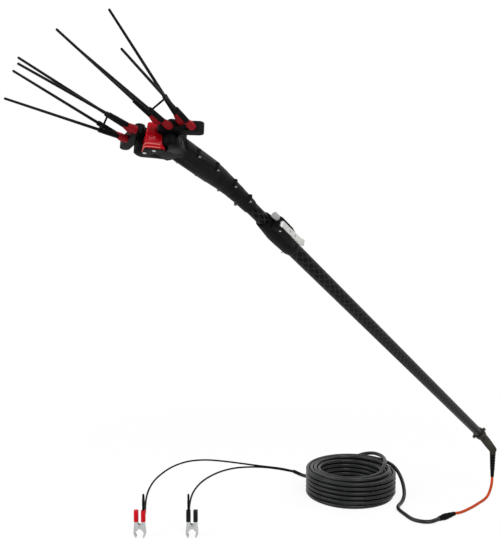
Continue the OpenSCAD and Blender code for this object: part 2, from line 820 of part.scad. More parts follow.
module comb_shaft(left) {
    color("#c4c6c8") shaft_frame(left) translate([0, 0, shaft_top])
        cylinder(r = shaft_d / 2, h = shaft_end - body_gap - shaft_top);
}

// Involute flank: point at radius r of a tooth centred on x
function inv(a) = tan(a) * 180 / PI - a;
function flank(r) =
    let (pitch_r = shaft_y, base_r = pitch_r * cos(gear_pressure),
         half = 90 / gear_teeth - gear_backlash / 4 / pitch_r * 180 / PI,
         a = acos(min(1, base_r / max(r, base_r))))
        half + inv(gear_pressure) - inv(a);
tooth_radii = [for (k = [0:4]) shaft_y - gear_mod * 1.1 + k * gear_mod * 0.5];
module tooth() {
    side = [for (r = tooth_radii) [r * cos(flank(r)), r * sin(flank(r))]];
    root = tooth_radii[0] - gear_mod;
    polygon(concat([[root, -side[0].y]], [for (k = [0:4]) [side[k].x, -side[k].y]],
        [for (k = [4:-1:0]) side[k]], [[root, side[0].y]]));
}

// Sector gear that points to the other shaft when the combs are half open
module sector(teeth_places, turned) {
    root_r = shaft_y - gear_mod * 1.25;
    spread = 360 / gear_teeth * (max(teeth_places) + 0.35);
    rotate([0, 0, turned]) {
        for (k = teeth_places) rotate([0, 0, k * 360 / gear_teeth]) tooth();
        intersection() {
            circle(r = root_r);
            polygon([[0, 0], [root_r * 2, -root_r * 2 * tan(spread)], [root_r * 2, root_r * 2 * tan(spread)]]);
        }
    }
    circle(r = gear_hub_r);
}

module gear_body(teeth_places, turned) {
    difference() {
        z_slab(gear_z, gear_z + gear_t) sector(teeth_places, turned);
        translate([0, 0, gear_z - over]) cylinder(r = shaft_d / 2, h = gear_t + over * 2);
    }
}

module left_gear() {
    color("#a9abad") shaft_frame(true) gear_body([-1, 0, 1], -90 - comb_swing / 2);
}

// Fork arm on the left shaft, with the two walls that straddle the crank pin
module drive_fork() {
    color("#8f9194") shaft_frame(true) rotate([0, 0, -comb_swing / 2]) difference() {
        union() {
            z_slab(fork_z, fork_z + fork_t) fork_plan();
            cylinder(r = gear_hub_r, h = fork_z + fork_t);
            for (side = [-1, 1])
                translate([fork_arm.x, fork_arm.y + side * (fork_gap + fork_wall / 2), fork_top])
                    translate([-fork_l / 2, -fork_wall / 2, 0])
                        cube([fork_l, fork_wall, fork_z + fork_t / 2 - fork_top]);
        }
        cylinder(r = gear_hub_r + over, h = fork_z);
        cylinder(r = shaft_d / 2, h = gear_z);
    }
}

module fork_plan() {
    w = fork_arm_w / 2;
    x = fork_l / 2 + over;
    y = fork_gap + fork_wall + over;
    polygon([[-w, w], [w, -w], [fork_arm.x + x, fork_arm.y - y], [fork_arm.x - x, fork_arm.y - y],
        [fork_arm.x - x, fork_arm.y + y]]);
}

module right_gear() {
    color("#a9abad") shaft_frame(false) gear_body([-1.5, -0.5, 0.5, 1.5], 90 + comb_swing / 2);
}

// Combs

function bar_dir() = [-sin(bar_sweep), -cos(bar_sweep), 0];
function on_bar(r) = [0, -bar_first_y, 0] + r * bar_dir();
function rod_base(i) =
    on_bar(rod_first + i * rod_pitch) + [0, 0, rod_mid_z + (i % 2 == 0 ? -rod_row_z : rod_row_z)];
function rod_dir(i, left) =
    let (fan = rod_fan[left ? 1 : 0][i], lean = rod_lean[left ? 1 : 0][i])
        [cos(fan) * cos(lean), -sin(fan) * cos(lean), sin(lean)];
module rod_frame(i, left) { translate(rod_base(i)) aim(rod_dir(i, left)) children(); }

module bar_plan() {
    translate([bar_start_r, -bar_w / 2]) square([bar_end_r - bar_start_r, bar_w]);
    for (r = [bar_start_r, bar_end_r]) translate([r, 0]) circle(r = bar_w / 2);
}

// Along the bar: x from its inner end outwards, y square to it
module bar_frame() { translate(on_bar(0)) rotate([0, 0, -90 - bar_sweep]) children(); }

module bar(left) {
    color("#18191a") hand(left) difference() {
        union() {
            bar_frame() z_slab(bar_z - bar_t / 2, bar_z + bar_t / 2) bar_plan();
            translate([shaft_x, -shaft_y, 0]) cylinder(r = bar_hub_r, h = bar_hub_z * 2, center = true);
        }
        translate([shaft_x, -shaft_y, 0]) cylinder(r = shaft_d / 2, h = bar_t * 2, center = true);
    }
}

module sockets(left) {
    color("#7a2d28") hand(left) difference() {
        for (i = [0:rod_count - 1]) rod_frame(i, left) {
            cylinder(r = socket_r0, h = bar_w);
            translate([0, 0, bar_w]) cylinder(r1 = socket_r0, r2 = socket_r1, h = socket_l - bar_w);
        }
        for (i = [0:rod_count - 1]) rod_frame(i, left) translate([0, 0, rod_start]) cylinder(r = rod_d / 2, h = socket_l);
        // Behind the bar's front face
        bar_frame() translate([-bar_w, -bar_w * 1.5, -bar_w]) cube([bar_end_r * 2, bar_w * 2, bar_w * 2]);
    }
}

// Ribbed rubber sleeve between the socket and the clip
module ribbed_sleeve() {
    step = sleeve_rod_l / sleeve_ribs;
    rotate_extrude() {
        translate([rod_d / 2, 0]) square([sleeve_rod_r - sleeve_rib_r - rod_d / 2, sleeve_rod_l]);
        for (k = [0:sleeve_ribs - 1])
            translate([rod_d / 2, (k + 0.25) * step]) square([sleeve_rod_r - rod_d / 2, step / 2]);
    }
}

module rod_sleeves(left) {
    color("#101011") hand(left) for (i = [0:rod_count - 1])
        rod_frame(i, left) translate([0, 0, socket_l]) ribbed_sleeve();
}

module rods(left) {
    straight = socket_l + sleeve_rod_l + clip_l;
    color("#0d0d0e") hand(left) for (i = [0:rod_count - 1]) rod_frame(i, left) {
        translate([0, 0, rod_start]) cylinder(r = rod_d / 2, h = straight - rod_start);
        translate([0, 0, straight]) cylinder(r1 = rod_d / 2, r2 = rod_tip_r, h = rod_l - straight - rod_tip_r);
        translate([0, 0, rod_l - rod_tip_r]) sphere(r = rod_tip_r);
    }
}

// Clips above the sleeves, joined in pairs by thin link bars
module clips(left) {
    color("#141415") hand(left) difference() {
        union() {
            for (i = [0:rod_count - 1])
                rod_frame(i, left) translate([0, 0, socket_l + sleeve_rod_l]) cylinder(r = clip_r, h = clip_l);
            for (pair = link_pairs) {
                a = clip_at(pair[0], left);
                b = clip_at(pair[1], left);
                translate(a) aim(b - a) cylinder(r = link_r, h = norm(b - a));
            }
        }
        for (i = [0:rod_count - 1]) rod_frame(i, left) cylinder(r = rod_d / 2, h = rod_l / 2);
    }
}
function clip_at(i, left) = rod_base(i) + (socket_l + sleeve_rod_l + clip_l / 2) * rod_dir(i, left);

// Domed nut that holds the bar on its shaft
module nut(left) {
    sphere_r = (nut_r * nut_r + nut_dome * nut_dome) / (2 * nut_dome);
    color("#1b1c1d") shaft_frame(left) translate([0, 0, shaft_top]) rotate([180, 0, 0]) {
        cylinder(r = nut_r, h = nut_flat);
        translate([0, 0, nut_flat]) intersection() {
            cylinder(r = nut_r, h = nut_dome);
            translate([0, 0, nut_dome - sphere_r]) sphere(r = sphere_r);
        }
    }
}

module left_shaft() { comb_shaft(true); }
module left_bar() { bar(true); }
module left_sockets() { sockets(true); }
module left_sleeves() { rod_sleeves(true); }
module left_rods() { rods(true); }
module left_clips() { clips(true); }
module left_nut() { nut(true); }
module right_shaft() { comb_shaft(false); }
module right_bar() { bar(false); }
module right_sockets() { sockets(false); }
module right_sleeves() { rod_sleeves(false); }
module right_rods() { rods(false); }
module right_clips() { clips(false); }
module right_nut() { nut(false); }

// Cable

module orange_cable() { color("#c84b23") swept(orange_route, orange_d / 2, 8, [0.3, 1, 0.2]); }

module conn_frame() {
    translate([conn_at.x, conn_at.y, floor_z + conn_r]) rotate([0, 0, conn_turn]) rotate([0, 90, 0]) children();
}

module conn_half(end_r, fat) {
    half = conn_l / 2;
    rotate_extrude() polygon([[0, 0], [fat, 0], [fat, half * 0.45], [fat * 0.86, half * 0.52],
        [fat * 0.86, half * 0.72], [end_r, half * 0.8], [end_r, half], [0, half]]);
}

module connector_plug() { color("#121212") conn_frame() rotate([180, 0, 0]) conn_half(orange_d * 0.72, conn_r * 0.86); }
module connector_socket() { color("#121212") conn_frame() conn_half(conn_neck_r, conn_r); }

// Centre of the coil's cable after a number of turns
function coil_spot(t) =
    let (cycle = layer_turns + 0.5, layer = min(coil_layers - 1, floor(t / cycle)), u = t - layer * cycle,
         climb = min(u, layer_turns), shift = max(0, u - layer_turns) * 2,
         r = coil_r - (layer + shift) * coil_layer, turn = coil_start_turn + 360 * t,
         up = layer % 2 == 0 ? layer_turns - climb : climb)
        [coil_at.x + r * cos(turn), coil_at.y + r * sin(turn), coil_low_z + up * coil_row];
coil_count = round(coil_turns * coil_rings);
coil_points = [for (k = [0:coil_count]) coil_spot(coil_turns * k / coil_count)];
coil_first = coil_points[0] - cable_d * unit(coil_points[1] - coil_points[0]);
coil_last = coil_points[coil_count] + cable_d * unit(coil_points[coil_count] - coil_points[coil_count - 1]);

module supply_cable() {
    color("#101010") swept(concat(supply_route, [coil_first]), cable_d / 2, 8, [0, 0, 1]);
}

module cable_coil() {
    near = [for (i = [0:coil_count], turns = [1:floor(coil_turns)], shift = [-2:2])
        let (k = i + turns * coil_rings + shift) if (k <= coil_count) norm(coil_points[k] - coil_points[i])];
    echo("least gap of the coil's cable to itself", min(near) - cable_d);
    color("#101010") swept(concat([coil_first], coil_points, [coil_last]), cable_d / 2, coil_sides, [0, 0, 1]);
}

module coil_tail() {
    color("#101010") swept(concat([coil_last], tail_route), cable_d / 2, 8, [0, 0, 1]);
}

module lead_splitter() {
    from = tail_route[len(tail_route) - 1];
    run = splitter_end - from;
    color("#141414") translate(from) aim(run)
        cylinder(r1 = cable_d / 2, r2 = lead_d, h = norm(run));
}

module red_lead() { color("#0f0f0f") swept(red_route, lead_d / 2, 8, [0.61, -0.79, 0.9]); }
module black_lead() { color("#0f0f0f") swept(black_route, lead_d / 2, 8, [0.59, -0.81, 0.9]); }

// Battery clamps: side 1 is the half on the right, seen from the front

module jaw_outline() { polygon([for (s = croc_jaw_shares) [s[0] * croc_half_w, s[1] * croc_h]]); }

module jaw(side, width) {
    strip_x = croc_jaw_shares[4][0] * croc_half_w;
    mirror([side < 0 ? 1 : 0, 0, 0]) difference() {
        union() {
            y_slab(width) jaw_outline();
            translate([strip_x - croc_t, -width / 2, grip_low_share * croc_h - over])
                cube([croc_t, width, (croc_handle_share - grip_low_share) * croc_h]);
        }
        y_slab(width - croc_t * 2) translate([-croc_t, 0]) jaw_outline();
        translate([0, width, croc_pivot_z]) rotate([90, 0, 0]) cylinder(r = croc_pin_r + run_gap, h = width * 2);
    }
}

module grip(side) {
    strip_x = croc_jaw_shares[4][0] * croc_half_w;
    low = grip_low_share * croc_h;
    mirror([side < 0 ? 1 : 0, 0, 0]) difference() {
        translate([grip_x, 0, low]) linear_extrude(croc_h - low) grip_plan();
        translate([strip_x - croc_t - run_gap, -croc_w / 2 - run_gap, low - over])
            cube([croc_t + run_gap * 2, croc_w + run_gap * 2, croc_handle_share * croc_h - low + run_gap]);
    }
}

module grip_plan() {
    x = grip_w / 2 - grip_round;
    y = grip_deep / 2 - grip_round;
    for (sx = [-1, 1], sy = [-1, 1]) translate([sx * x, sy * y]) circle(r = grip_round);
    square([grip_w, y * 2], center = true);
    square([x * 2, grip_deep], center = true);
}

module croc_pin() {
    reach = croc_w / 2 + body_gap;
    translate([0, 0, croc_pivot_z]) rotate([90, 0, 0]) {
        cylinder(r = croc_pin_r, h = reach * 2, center = true);
        for (side = [-1, 1])
            translate([0, 0, side * (reach + croc_pin_head_h / 2)])
                cylinder(r = croc_pin_head_r, h = croc_pin_head_h, center = true);
    }
}

// Torsion spring round the pin
module croc_spring() {
    width = croc_w - croc_nest - croc_t * 2 - spring_wire - body_gap * 2;
    count = spring_turns * spring_rings;
    helix = [for (k = [0:count])
        let (turn = 360 * k / spring_rings)
            [spring_r * cos(turn), width * (k / count - 0.5), croc_pivot_z + spring_r * sin(turn)]];
    ends = [helix[0] - spring_wire * unit(helix[1] - helix[0]),
        helix[count] + spring_wire * unit(helix[count] - helix[count - 1])];
    gap = min([for (k = [0:count - spring_rings]) norm(helix[k + spring_rings] - helix[k])]) - spring_wire;
    echo("least gap of the clamp spring's wire to itself", gap);
    swept(concat([ends[0]], helix, [ends[1]]), spring_wire / 2, 6, [0, 1, 0]);
}

module red_fixed_jaw() { color("#b9bbbd") croc_frame(red_croc_at) jaw(1, croc_w); }
module red_swing_jaw() { color("#b9bbbd") croc_frame(red_croc_at) jaw(-1, croc_w - croc_nest); }
module red_clamp_pin() { color("#c9cbcd") croc_frame(red_croc_at) croc_pin(); }
module red_clamp_spring() { color("#8a8c8e") croc_frame(red_croc_at) croc_spring(); }
module red_fixed_grip() { color("#c01824") croc_frame(red_croc_at) grip(1); }
module red_swing_grip() { color("#c01824") croc_frame(red_croc_at) grip(-1); }
module black_fixed_jaw() { color("#b9bbbd") croc_frame(black_croc_at) jaw(-1, croc_w); }
module black_swing_jaw() { color("#b9bbbd") croc_frame(black_croc_at) jaw(1, croc_w - croc_nest); }
module black_clamp_pin() { color("#c9cbcd") croc_frame(black_croc_at) croc_pin(); }
module black_clamp_spring() { color("#8a8c8e") croc_frame(black_croc_at) croc_spring(); }
module black_fixed_grip() { color("#131313") croc_frame(black_croc_at) grip(-1); }
module black_swing_grip() { color("#131313") croc_frame(black_croc_at) grip(1); }

outer_tube();
clamp_sleeve();
lever_pin();
pressure_shoe();
sleeve_screws();
clamp_lever();
tension_knob();
end_elbow();
elbow_screws();
strain_relief_boot();
inner_tube();
tube_guide();
upper_shell();
lower_shell();
red_cover();
shell_screws();
cover_screws();
motor();
gearbox();
shaft_bushes();
crank();
drive_fork();
left_shaft();
left_gear();
left_bar();
left_sockets();
left_sleeves();
left_rods();
left_clips();
left_nut();
right_shaft();
right_gear();
right_bar();
right_sockets();
right_sleeves();
right_rods();
right_clips();
right_nut();
orange_cable();
connector_plug();
connector_socket();
supply_cable();
cable_coil();
coil_tail();
lead_splitter();
red_lead();
black_lead();
red_fixed_jaw();
red_swing_jaw();
red_clamp_pin();
red_clamp_spring();
red_fixed_grip();
red_swing_grip();
black_fixed_jaw();
black_swing_jaw();
black_clamp_pin();
black_clamp_spring();
black_fixed_grip();
black_swing_grip();
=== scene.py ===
"""Looks of the electric olive harvester: cords, camera, finishes and rounded mouldings over its CAD frame."""

import json
import math

import bmesh
import bpy
from bpy.props import FloatProperty, FloatVectorProperty, IntProperty, PointerProperty
from mathutils import Matrix, Vector


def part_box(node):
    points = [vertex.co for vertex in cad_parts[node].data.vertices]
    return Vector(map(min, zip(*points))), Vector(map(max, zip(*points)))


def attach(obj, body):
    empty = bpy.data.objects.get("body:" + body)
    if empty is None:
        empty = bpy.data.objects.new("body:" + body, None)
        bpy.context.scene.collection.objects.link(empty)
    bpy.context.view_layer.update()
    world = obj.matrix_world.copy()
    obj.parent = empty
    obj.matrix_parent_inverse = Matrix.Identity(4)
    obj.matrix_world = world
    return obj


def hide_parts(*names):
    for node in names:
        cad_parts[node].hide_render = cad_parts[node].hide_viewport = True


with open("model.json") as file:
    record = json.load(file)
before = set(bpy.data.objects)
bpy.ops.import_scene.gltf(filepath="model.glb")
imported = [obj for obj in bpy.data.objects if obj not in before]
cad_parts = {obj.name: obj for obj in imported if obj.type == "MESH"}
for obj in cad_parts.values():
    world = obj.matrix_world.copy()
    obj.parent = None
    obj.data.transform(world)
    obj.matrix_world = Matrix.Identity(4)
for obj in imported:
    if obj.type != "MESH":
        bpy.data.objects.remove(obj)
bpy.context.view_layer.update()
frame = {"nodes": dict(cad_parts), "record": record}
NODES = frame["nodes"]
RECORD = frame["record"]
BODY_OF = {node: body for body, nodes in RECORD["behaviour"]["bodies"].items() for node in nodes}

bl_info = {
    "name": "Olive Harvester Looks",
    "version": (1, 0, 0),
    "blender": (4, 5, 0),
    "location": "3D View > Sidebar > Harvester",
    "description": "Cords, mouldings, finishes and stage of an electric olive harvester",
    "category": "Object",
}

# Frame of the part: the ground in metres, the pole's tilt, the head's millimetres and the clamps' turn
FLOOR = -0.430
TILT = math.radians(27)
HEAD_ROLL, HEAD_NOD = math.radians(190), math.radians(-8.3)
HEAD_TURN = (Matrix.Rotation(-TILT, 3, "Y") @ Matrix.Rotation(HEAD_ROLL, 3, "X")
             @ Matrix.Rotation(HEAD_NOD, 3, "Y"))
HEAD_AT = Vector((1.590234, 0.005845, 0.773064))
HEAD = Matrix.Translation(HEAD_AT) @ HEAD_TURN.to_4x4() @ Matrix.Scale(0.001, 4)
HEAD_LONG = 100
CLAMP_TURN = math.radians(121.7)


def both_sides(end, corner, middle):
    """Corners of a cover's outline, from its left end round its middle to its right end."""
    left = [end, corner]
    return [*left, middle, *((x, -y, z) for x, y, z in reversed(left))]


# Outlines of the red cover from its crown down to its lower edge, in the head's millimetres
CROWN = both_sides((-23.7, 12.5, -17.1), (-12, 12.5, -13.9), (9.5, 0, -8))
NOSE = both_sides((-23.7, 15.8, 12.3), (-7.2, 17.0, 12.3), (11.7, 0, 12.3))
GEAR_TOP = both_sides((-7.6, 17.8, 13.2), (-6.8, 17.4, 13.2), (11.8, 0, 13.2))
GEAR_LOW = both_sides((-7.6, 19.2, 26), (-6.9, 18.8, 26), (12.1, 0, 26))
SKIRT = both_sides((-14, 21.5, 37.5), (-7.2, 19.9, 38), (12.5, 0, 39.5))
CORNER_CUTS = (4.5, 6.0, 4.5)

# The crown's rounding as insets and drops, the length an inset is a share of, and the place it shrinks to
CROWN_ROUND = ((2.4, 0), (0.7, 0.7), (0, 2.4))
CROWN_REACH, CROWN_MIDDLE = 14, -8
COVER_WALL = -1.5

# How far the cover's screws move down with its lower edge, in metres
SCREW_SHIFT = Vector((0, 0, 0.0084))

# The ribs' places and width as shares from GEAR_LOW to SKIRT, the points left off their ends, and height
RIB_SHARES, RIB_BAND, RIB_TRIM, RIB_WALL = (0.26, 0.70), 0.13, 6, 0.7

# One half of the room for the cover's skirt, with its top and depth
ROOM_HALF = [(25, 19), (-10.3, 19), (-11.4, 17), (-14.2, 17)]
ROOM_TOP, ROOM_DEPTH = 13.2, 27

# The black lip under the cover: how it outgrows the skirt, its back edge and its roundings
LIP_LONG, LIP_BROAD, LIP_AHEAD, LIP_GAP = 1.02, 1.05, 0.9, 0.2
LIP_BACK, LIP_HALF, LIP_TOP, LIP_THICK = -24, 18.5, 30.4, 2.2
LIP_SIDE_ROUND, LIP_MIDDLE_ROUND = (3.0, 4), (5.5, 8)
UPRIGHT_LEAST, ON_MIDDLE, UPRIGHT_ANGLE = 1.2, 0.01, math.radians(15)

# Plan of the wall round a shaft boss, its top, floor and inner edge, and the floor's rise towards the neck
CHEEK = [(-6.4, 18.4), (-4.6, 26), (-6, 35), (-11.5, 40.5), (-20, 42), (-31, 40.3), (-56, 28), (-82, 19)]
CHEEK_ROUND = ((1.0, 3.0), (1.9, 0.9), (4.0, 0))
CHEEK_TOP, CHEEK_FLOOR, CHEEK_INNER, CHEEK_CUT, CHEEK_STEPS = 12.2, 31, 14, 2.5, 3
CHEEK_RISE_FROM, CHEEK_RISE_SHARE = -26, 0.22
CHEEK_WALL = -1.0

# Camera, fitted to the photograph's perspective
CAMERA_AT = Vector((2.6019, 0.8160, 0.6371))
CAMERA_RIGHT = Vector((-0.525, 0.851, 0.0))
CAMERA_PITCH = math.radians(4)
FOCAL_PIXELS, PHOTO_HEIGHT, SENSOR = 800, 540, 36

# Routes of the free cords in millimetres, as the CAD solids have them
ORANGE_ROUTE = [
    (-398, 40, -352), (-398, 40, -366), (-394, 39, -384), (-383, 37, -402), (-366, 34, -416),
    (-343, 30, -423), (-316, 25, -425), (-285, 20, -425), (-252, 15, -425), (-220, 8, -425),
    (-188, 0, -425), (-156, -9, -423), (-138, -15, -420), (-127, -19, -419),
]
SUPPLY_ROUTE = [
    (-53, -49, -419), (-39, -55, -420), (-20, -67, -422), (-8, -88, -423), (-5, -112, -423),
    (-10, -131, -423), (-22, -149, -423), (-41, -171, -423), (-60, -193, -423), (-79, -209, -423),
    (-103, -218, -423), (-131, -220, -422), (-160, -222, -417), (-193, -230, -405),
    (-230, -250, -382), (-260, -278, -356), (-282, -311, -338), (-296, -346, -331),
]
TAIL_ROUTE = [
    (-171, -311, -325), (-203, -316, -317), (-240, -327, -314), (-278, -347, -313),
    (-310, -378, -313), (-332, -420, -318), (-340, -467, -333), (-334, -508, -357),
    (-319, -544, -384), (-296, -576, -407), (-270, -599, -419), (-250, -613, -423),
    (-234, -628, -423), (-225, -648, -423), (-223, -668, -423), (-228, -685, -423),
]
RED_ROUTE = [
    (-253, -728, -423.5), (-263, -765, -426.5), (-262, -815, -426.5), (-247, -890, -426.5),
    (-234, -975, -426.5), (-219, -1060, -426.5), (-193, -1135, -426.5), (-140, -1185, -426.5),
    (-60, -1200, -426.5), (30, -1188, -426.5), (130, -1157, -426.5), (225, -1110, -426.5),
    (320, -1048, -426.5), (428, -965, -425), (475, -928, -402), (515, -898, -358),
    (546, -874, -314), (563, -861, -299), (577, -850, -300), (588, -842, -314), (590, -840, -340),
]
BLACK_ROUTE = [
    (-245, -732, -423.5), (-253, -768, -426.5), (-251, -815, -426.5), (-239, -870, -426.5),
    (-212, -920, -426.5), (-168, -965, -426.5), (-105, -990, -426.5), (-30, -995, -426.5),
    (55, -983, -426.5), (150, -950, -426.5), (240, -902, -426.5), (345, -833, -425),
    (394, -798, -402), (434, -769, -358), (466, -746, -314), (484, -733, -299), (498, -722, -300),
    (509, -715, -314), (511, -713, -340),
]

# The coil's middle, turns, layers and start angle; its radius, layer width, row height and lowest row;
# its points in a turn and straight ends; and the widths of the cords
COIL_AT = Vector((-150, -430, 0))
COIL_TURNS, COIL_LAYERS, COIL_START = 23.78, 4, 165
COIL_R, COIL_LAYER, COIL_ROW, COIL_LOW = 163.8, 14.6, 16.8, -423
COIL_POINTS, COIL_LEAD = 48, 14
ORANGE_WIDE, SUPPLY_WIDE, LEAD_WIDE = 10, 14, 7

# The stage: the floor's half size and gap, where it whitens away from the part, and the sky's light
FLOOR_HALF, FLOOR_GAP = 30, 0.0005
GLOW_AT = (0.2, -0.4, FLOOR)
GLOW_NEAR, GLOW_FAR, GLOW_LEAST, GLOW_MOST = 0.9, 2.2, 0.9, 1.0
WHITE = (1, 1, 1, 1)
SKY = 0.55

# Kinds of ray, besides the camera's, that see plain white
WHITE_RAYS = ("Is Glossy Ray", "Is Transmission Ray")


def tint(name, description, default):
    """A colour that a user may change."""
    return FloatVectorProperty(name=name, description=description, subtype="COLOR", default=default)


class HarvesterFinishes(bpy.types.PropertyGroup):
    """Colours and pattern sizes that a user may change."""

    moulding: tint("Moulding", "Black nylon of the head and the lever clamp", (0.0030, 0.0030, 0.0032))
    cover: tint("Nose cover", "Glossy red nose cover", (0.36, 0.0006, 0.0060))
    socket: tint("Rod sockets", "Brick-red rod sockets", (0.155, 0.0055, 0.0085))
    rubber: tint("Rubber", "Sleeves, boot and connector", (0.0042, 0.0042, 0.0043))
    sheath: tint("Black sheath", "Supply cable and battery leads", (0.0085, 0.0090, 0.0096))
    orange: tint("Orange sheath", "Short cable at the foot", (0.40, 0.044, 0.0060))
    lever: tint("Lever", "Silver paint of the clamp lever", (0.47, 0.47, 0.455))
    elbow: tint("Foot elbow", "Grained grey elbow", (0.025, 0.0235, 0.019))
    knob: tint("Knob", "Grey tension knob", (0.28, 0.28, 0.29))
    red_grip: tint("Red grips", "Vinyl of the positive clamp", (0.45, 0.006, 0.012))
    tow: tint("Carbon tow", "Grey of the crossing carbon tows", (0.024, 0.0245, 0.0255))
    wrap_pitch: FloatProperty(
        name="Wrap pitch", description="Length of one diamond of the wrap along the tube",
        unit="LENGTH", default=0.030)
    wrap_lines: IntProperty(
        name="Wrap lines", description="Crossing lines around the outer tube", default=6)
    edge: FloatProperty(
        name="Edge radius", description="Rounding of moulded edges", unit="LENGTH", default=0.0008)


# Shader maths

class Wire:
    """A node's output socket; the operators add Math nodes."""

    def __init__(self, paint, socket):
        self.paint, self.socket = paint, socket

    def math(self, operation, other=None, flip=False):
        first, second = (other, self) if flip else (self, other)
        inputs = {0: first} if second is None else {0: first, 1: second}
        return self.paint.node("ShaderNodeMath", {"operation": operation}, inputs)

    def __add__(self, other):
        return self.math("ADD", other)

    def __radd__(self, other):
        return self.math("ADD", other, True)

    def __sub__(self, other):
        return self.math("SUBTRACT", other)

    def __rsub__(self, other):
        return self.math("SUBTRACT", other, True)

    def __mul__(self, other):
        return self.math("MULTIPLY", other)

    def __truediv__(self, other):
        return self.math("DIVIDE", other)


class Paint:
    """One material and its nodes."""

    def __init__(self, name):
        self.material = bpy.data.materials.new(name)
        self.material.use_nodes = True
        self.tree = self.material.node_tree
        self.shader = self.tree.nodes["Principled BSDF"]

    def node(self, kind, settings=None, inputs=None, out=0):
        made = self.tree.nodes.new(kind)
        for key, value in (settings or {}).items():
            if key == "stops":
                ramp = made.color_ramp.elements
                while len(ramp) < len(value):
                    ramp.new(1.0)
                for element, (place, colour) in zip(ramp, value):
                    element.position = place
                    element.color = (*colour, 1.0)
            else:
                setattr(made, key, value)
        for key, value in (inputs or {}).items():
            self.feed(made.inputs[key], value)
        return Wire(self, made.outputs[out])

    def feed(self, socket, value):
        if isinstance(value, Wire):
            self.tree.links.new(value.socket, socket)
        elif hasattr(value, "__len__") and len(value) == 3 and socket.type == "RGBA":
            socket.default_value = (*value, 1.0)
        else:
            socket.default_value = value

    def place(self, turn=(0, 0, 0), scale=(1, 1, 1)):
        spot = self.node("ShaderNodeTexCoord", out="Object")
        return self.node("ShaderNodeMapping", None, {"Vector": spot, "Rotation": turn, "Scale": scale})

    def noise(self, vector, scale, detail=3.0, rough=0.55):
        return self.node("ShaderNodeTexNoise", None,
                         {"Vector": vector, "Scale": scale, "Detail": detail, "Roughness": rough})

    def spread(self, value, low, high, to_low=0.0, to_high=1.0):
        return self.node("ShaderNodeMapRange", {"interpolation_type": "SMOOTHSTEP"},
                         {0: value, 1: low, 2: high, 3: to_low, 4: to_high})

    def mix(self, factor, first, second):
        return self.node("ShaderNodeMix", {"data_type": "RGBA"}, {0: factor, 6: first, 7: second}, 2)

    def bump(self, height, strength, distance=0.001):
        return self.node("ShaderNodeBump", None,
                         {"Strength": strength, "Distance": distance, "Height": height})

    def surface(self, colour, roughness, normal=None, **constants):
        self.feed(self.shader.inputs["Base Color"], colour)
        self.feed(self.shader.inputs["Roughness"], roughness)
        if normal is not None:
            self.feed(self.shader.inputs["Normal"], normal)
        for key, value in constants.items():
            self.feed(self.shader.inputs[key.replace("_", " ")], value)
        return self.material


def lighter(colour, times):
    """The colour made so many times as bright."""
    return tuple(min(1.0, c * times) for c in colour)


def grained(name, colour, roughness, grain=900.0, depth=0.12, spread=1.5, **constants):
    """Moulded plastic: fine grain, faint cloudiness and an uneven sheen."""
    paint = Paint(name)
    spot = paint.place()
    cloud = paint.noise(spot, 22.0)
    fine = paint.noise(spot, grain, 2.0)
    tone = paint.mix(paint.spread(cloud, 0.35, 0.7), colour, lighter(colour, spread))
    rough = roughness - 0.06 + cloud * 0.12 + fine * 0.05
    constants.setdefault("Specular_IOR_Level", 0.03)
    return paint.surface(tone, rough, paint.bump(fine, depth), **constants)


def metal(name, colour, roughness, turn=(0, 0, 0), stretch=(1, 30, 30), scale=90.0):
    """Drawn or machined metal: streaks along one axis."""
    paint = Paint(name)
    streak = paint.noise(paint.place(turn, stretch), scale, 4.0)
    cloud = paint.noise(paint.place(), 35.0)
    tone = paint.mix(paint.spread(streak, 0.3, 0.7), lighter(colour, 0.72), colour)
    rough = roughness - 0.08 + streak * 0.12 + cloud * 0.1
    return paint.surface(tone, rough, paint.bump(streak, 0.05), Metallic=1.0)


def carbon(name, finishes, lines, pitch):
    """Carbon tube: grey tows crossing in diamonds on black, under a clear coat."""
    paint = Paint(name)
    along = paint.node("ShaderNodeSeparateXYZ", None, {0: paint.place((0, TILT, 0))})
    parts = along.socket.node.outputs
    x, y, z = (Wire(paint, parts[k]) for k in range(3))
    turn = z.math("ARCTAN2", y) * (lines / (2 * math.pi))
    crossing = []
    for way in (x / pitch + turn, x / pitch - turn):
        edge = way.math("PINGPONG", 0.5) * 2.0
        crossing.append(paint.spread(edge, 0.06, 0.30, 1.0, 0.0))
    tows = crossing[0].math("MAXIMUM", crossing[1])
    over = crossing[0] * crossing[1]
    fibre = paint.noise(paint.place((0, TILT, 0), (1, 14, 14)), 160.0, 4.0)
    cloud = paint.noise(paint.place(), 6.0)
    amount = tows * (0.35 + fibre * 0.55) + over * 0.35
    black, haze = (0.0016, 0.0016, 0.0018), (0.004, 0.004, 0.0043)
    tone = paint.mix(amount, black, tuple(finishes.tow))
    tone = paint.mix(paint.spread(cloud, 0.3, 0.75) * 0.25, tone, haze)
    rough = 0.34 - tows * 0.06 + fibre * 0.08
    return paint.surface(tone, rough, paint.bump(tows + fibre * 0.4, 0.12, 0.0006),
                         Specular_IOR_Level=0.02, Coat_Weight=0.03, Coat_Roughness=0.14)


def sheath(name, colour, roughness, spread=1.7, coat=0.0, shine=0.06):
    """Cable sheath: smooth, slightly uneven rubber or vinyl."""
    paint = Paint(name)
    spot = paint.place()
    cloud = paint.noise(spot, 30.0)
    fine = paint.noise(spot, 420.0, 2.0)
    tone = paint.mix(paint.spread(cloud, 0.4, 0.75), colour, lighter(colour, spread))
    rough = roughness - 0.05 + cloud * 0.12 + fine * 0.04
    return paint.surface(tone, rough, paint.bump(fine + cloud, 0.05),
                         Specular_IOR_Level=shine, Coat_Weight=coat)


FINISHES = {}


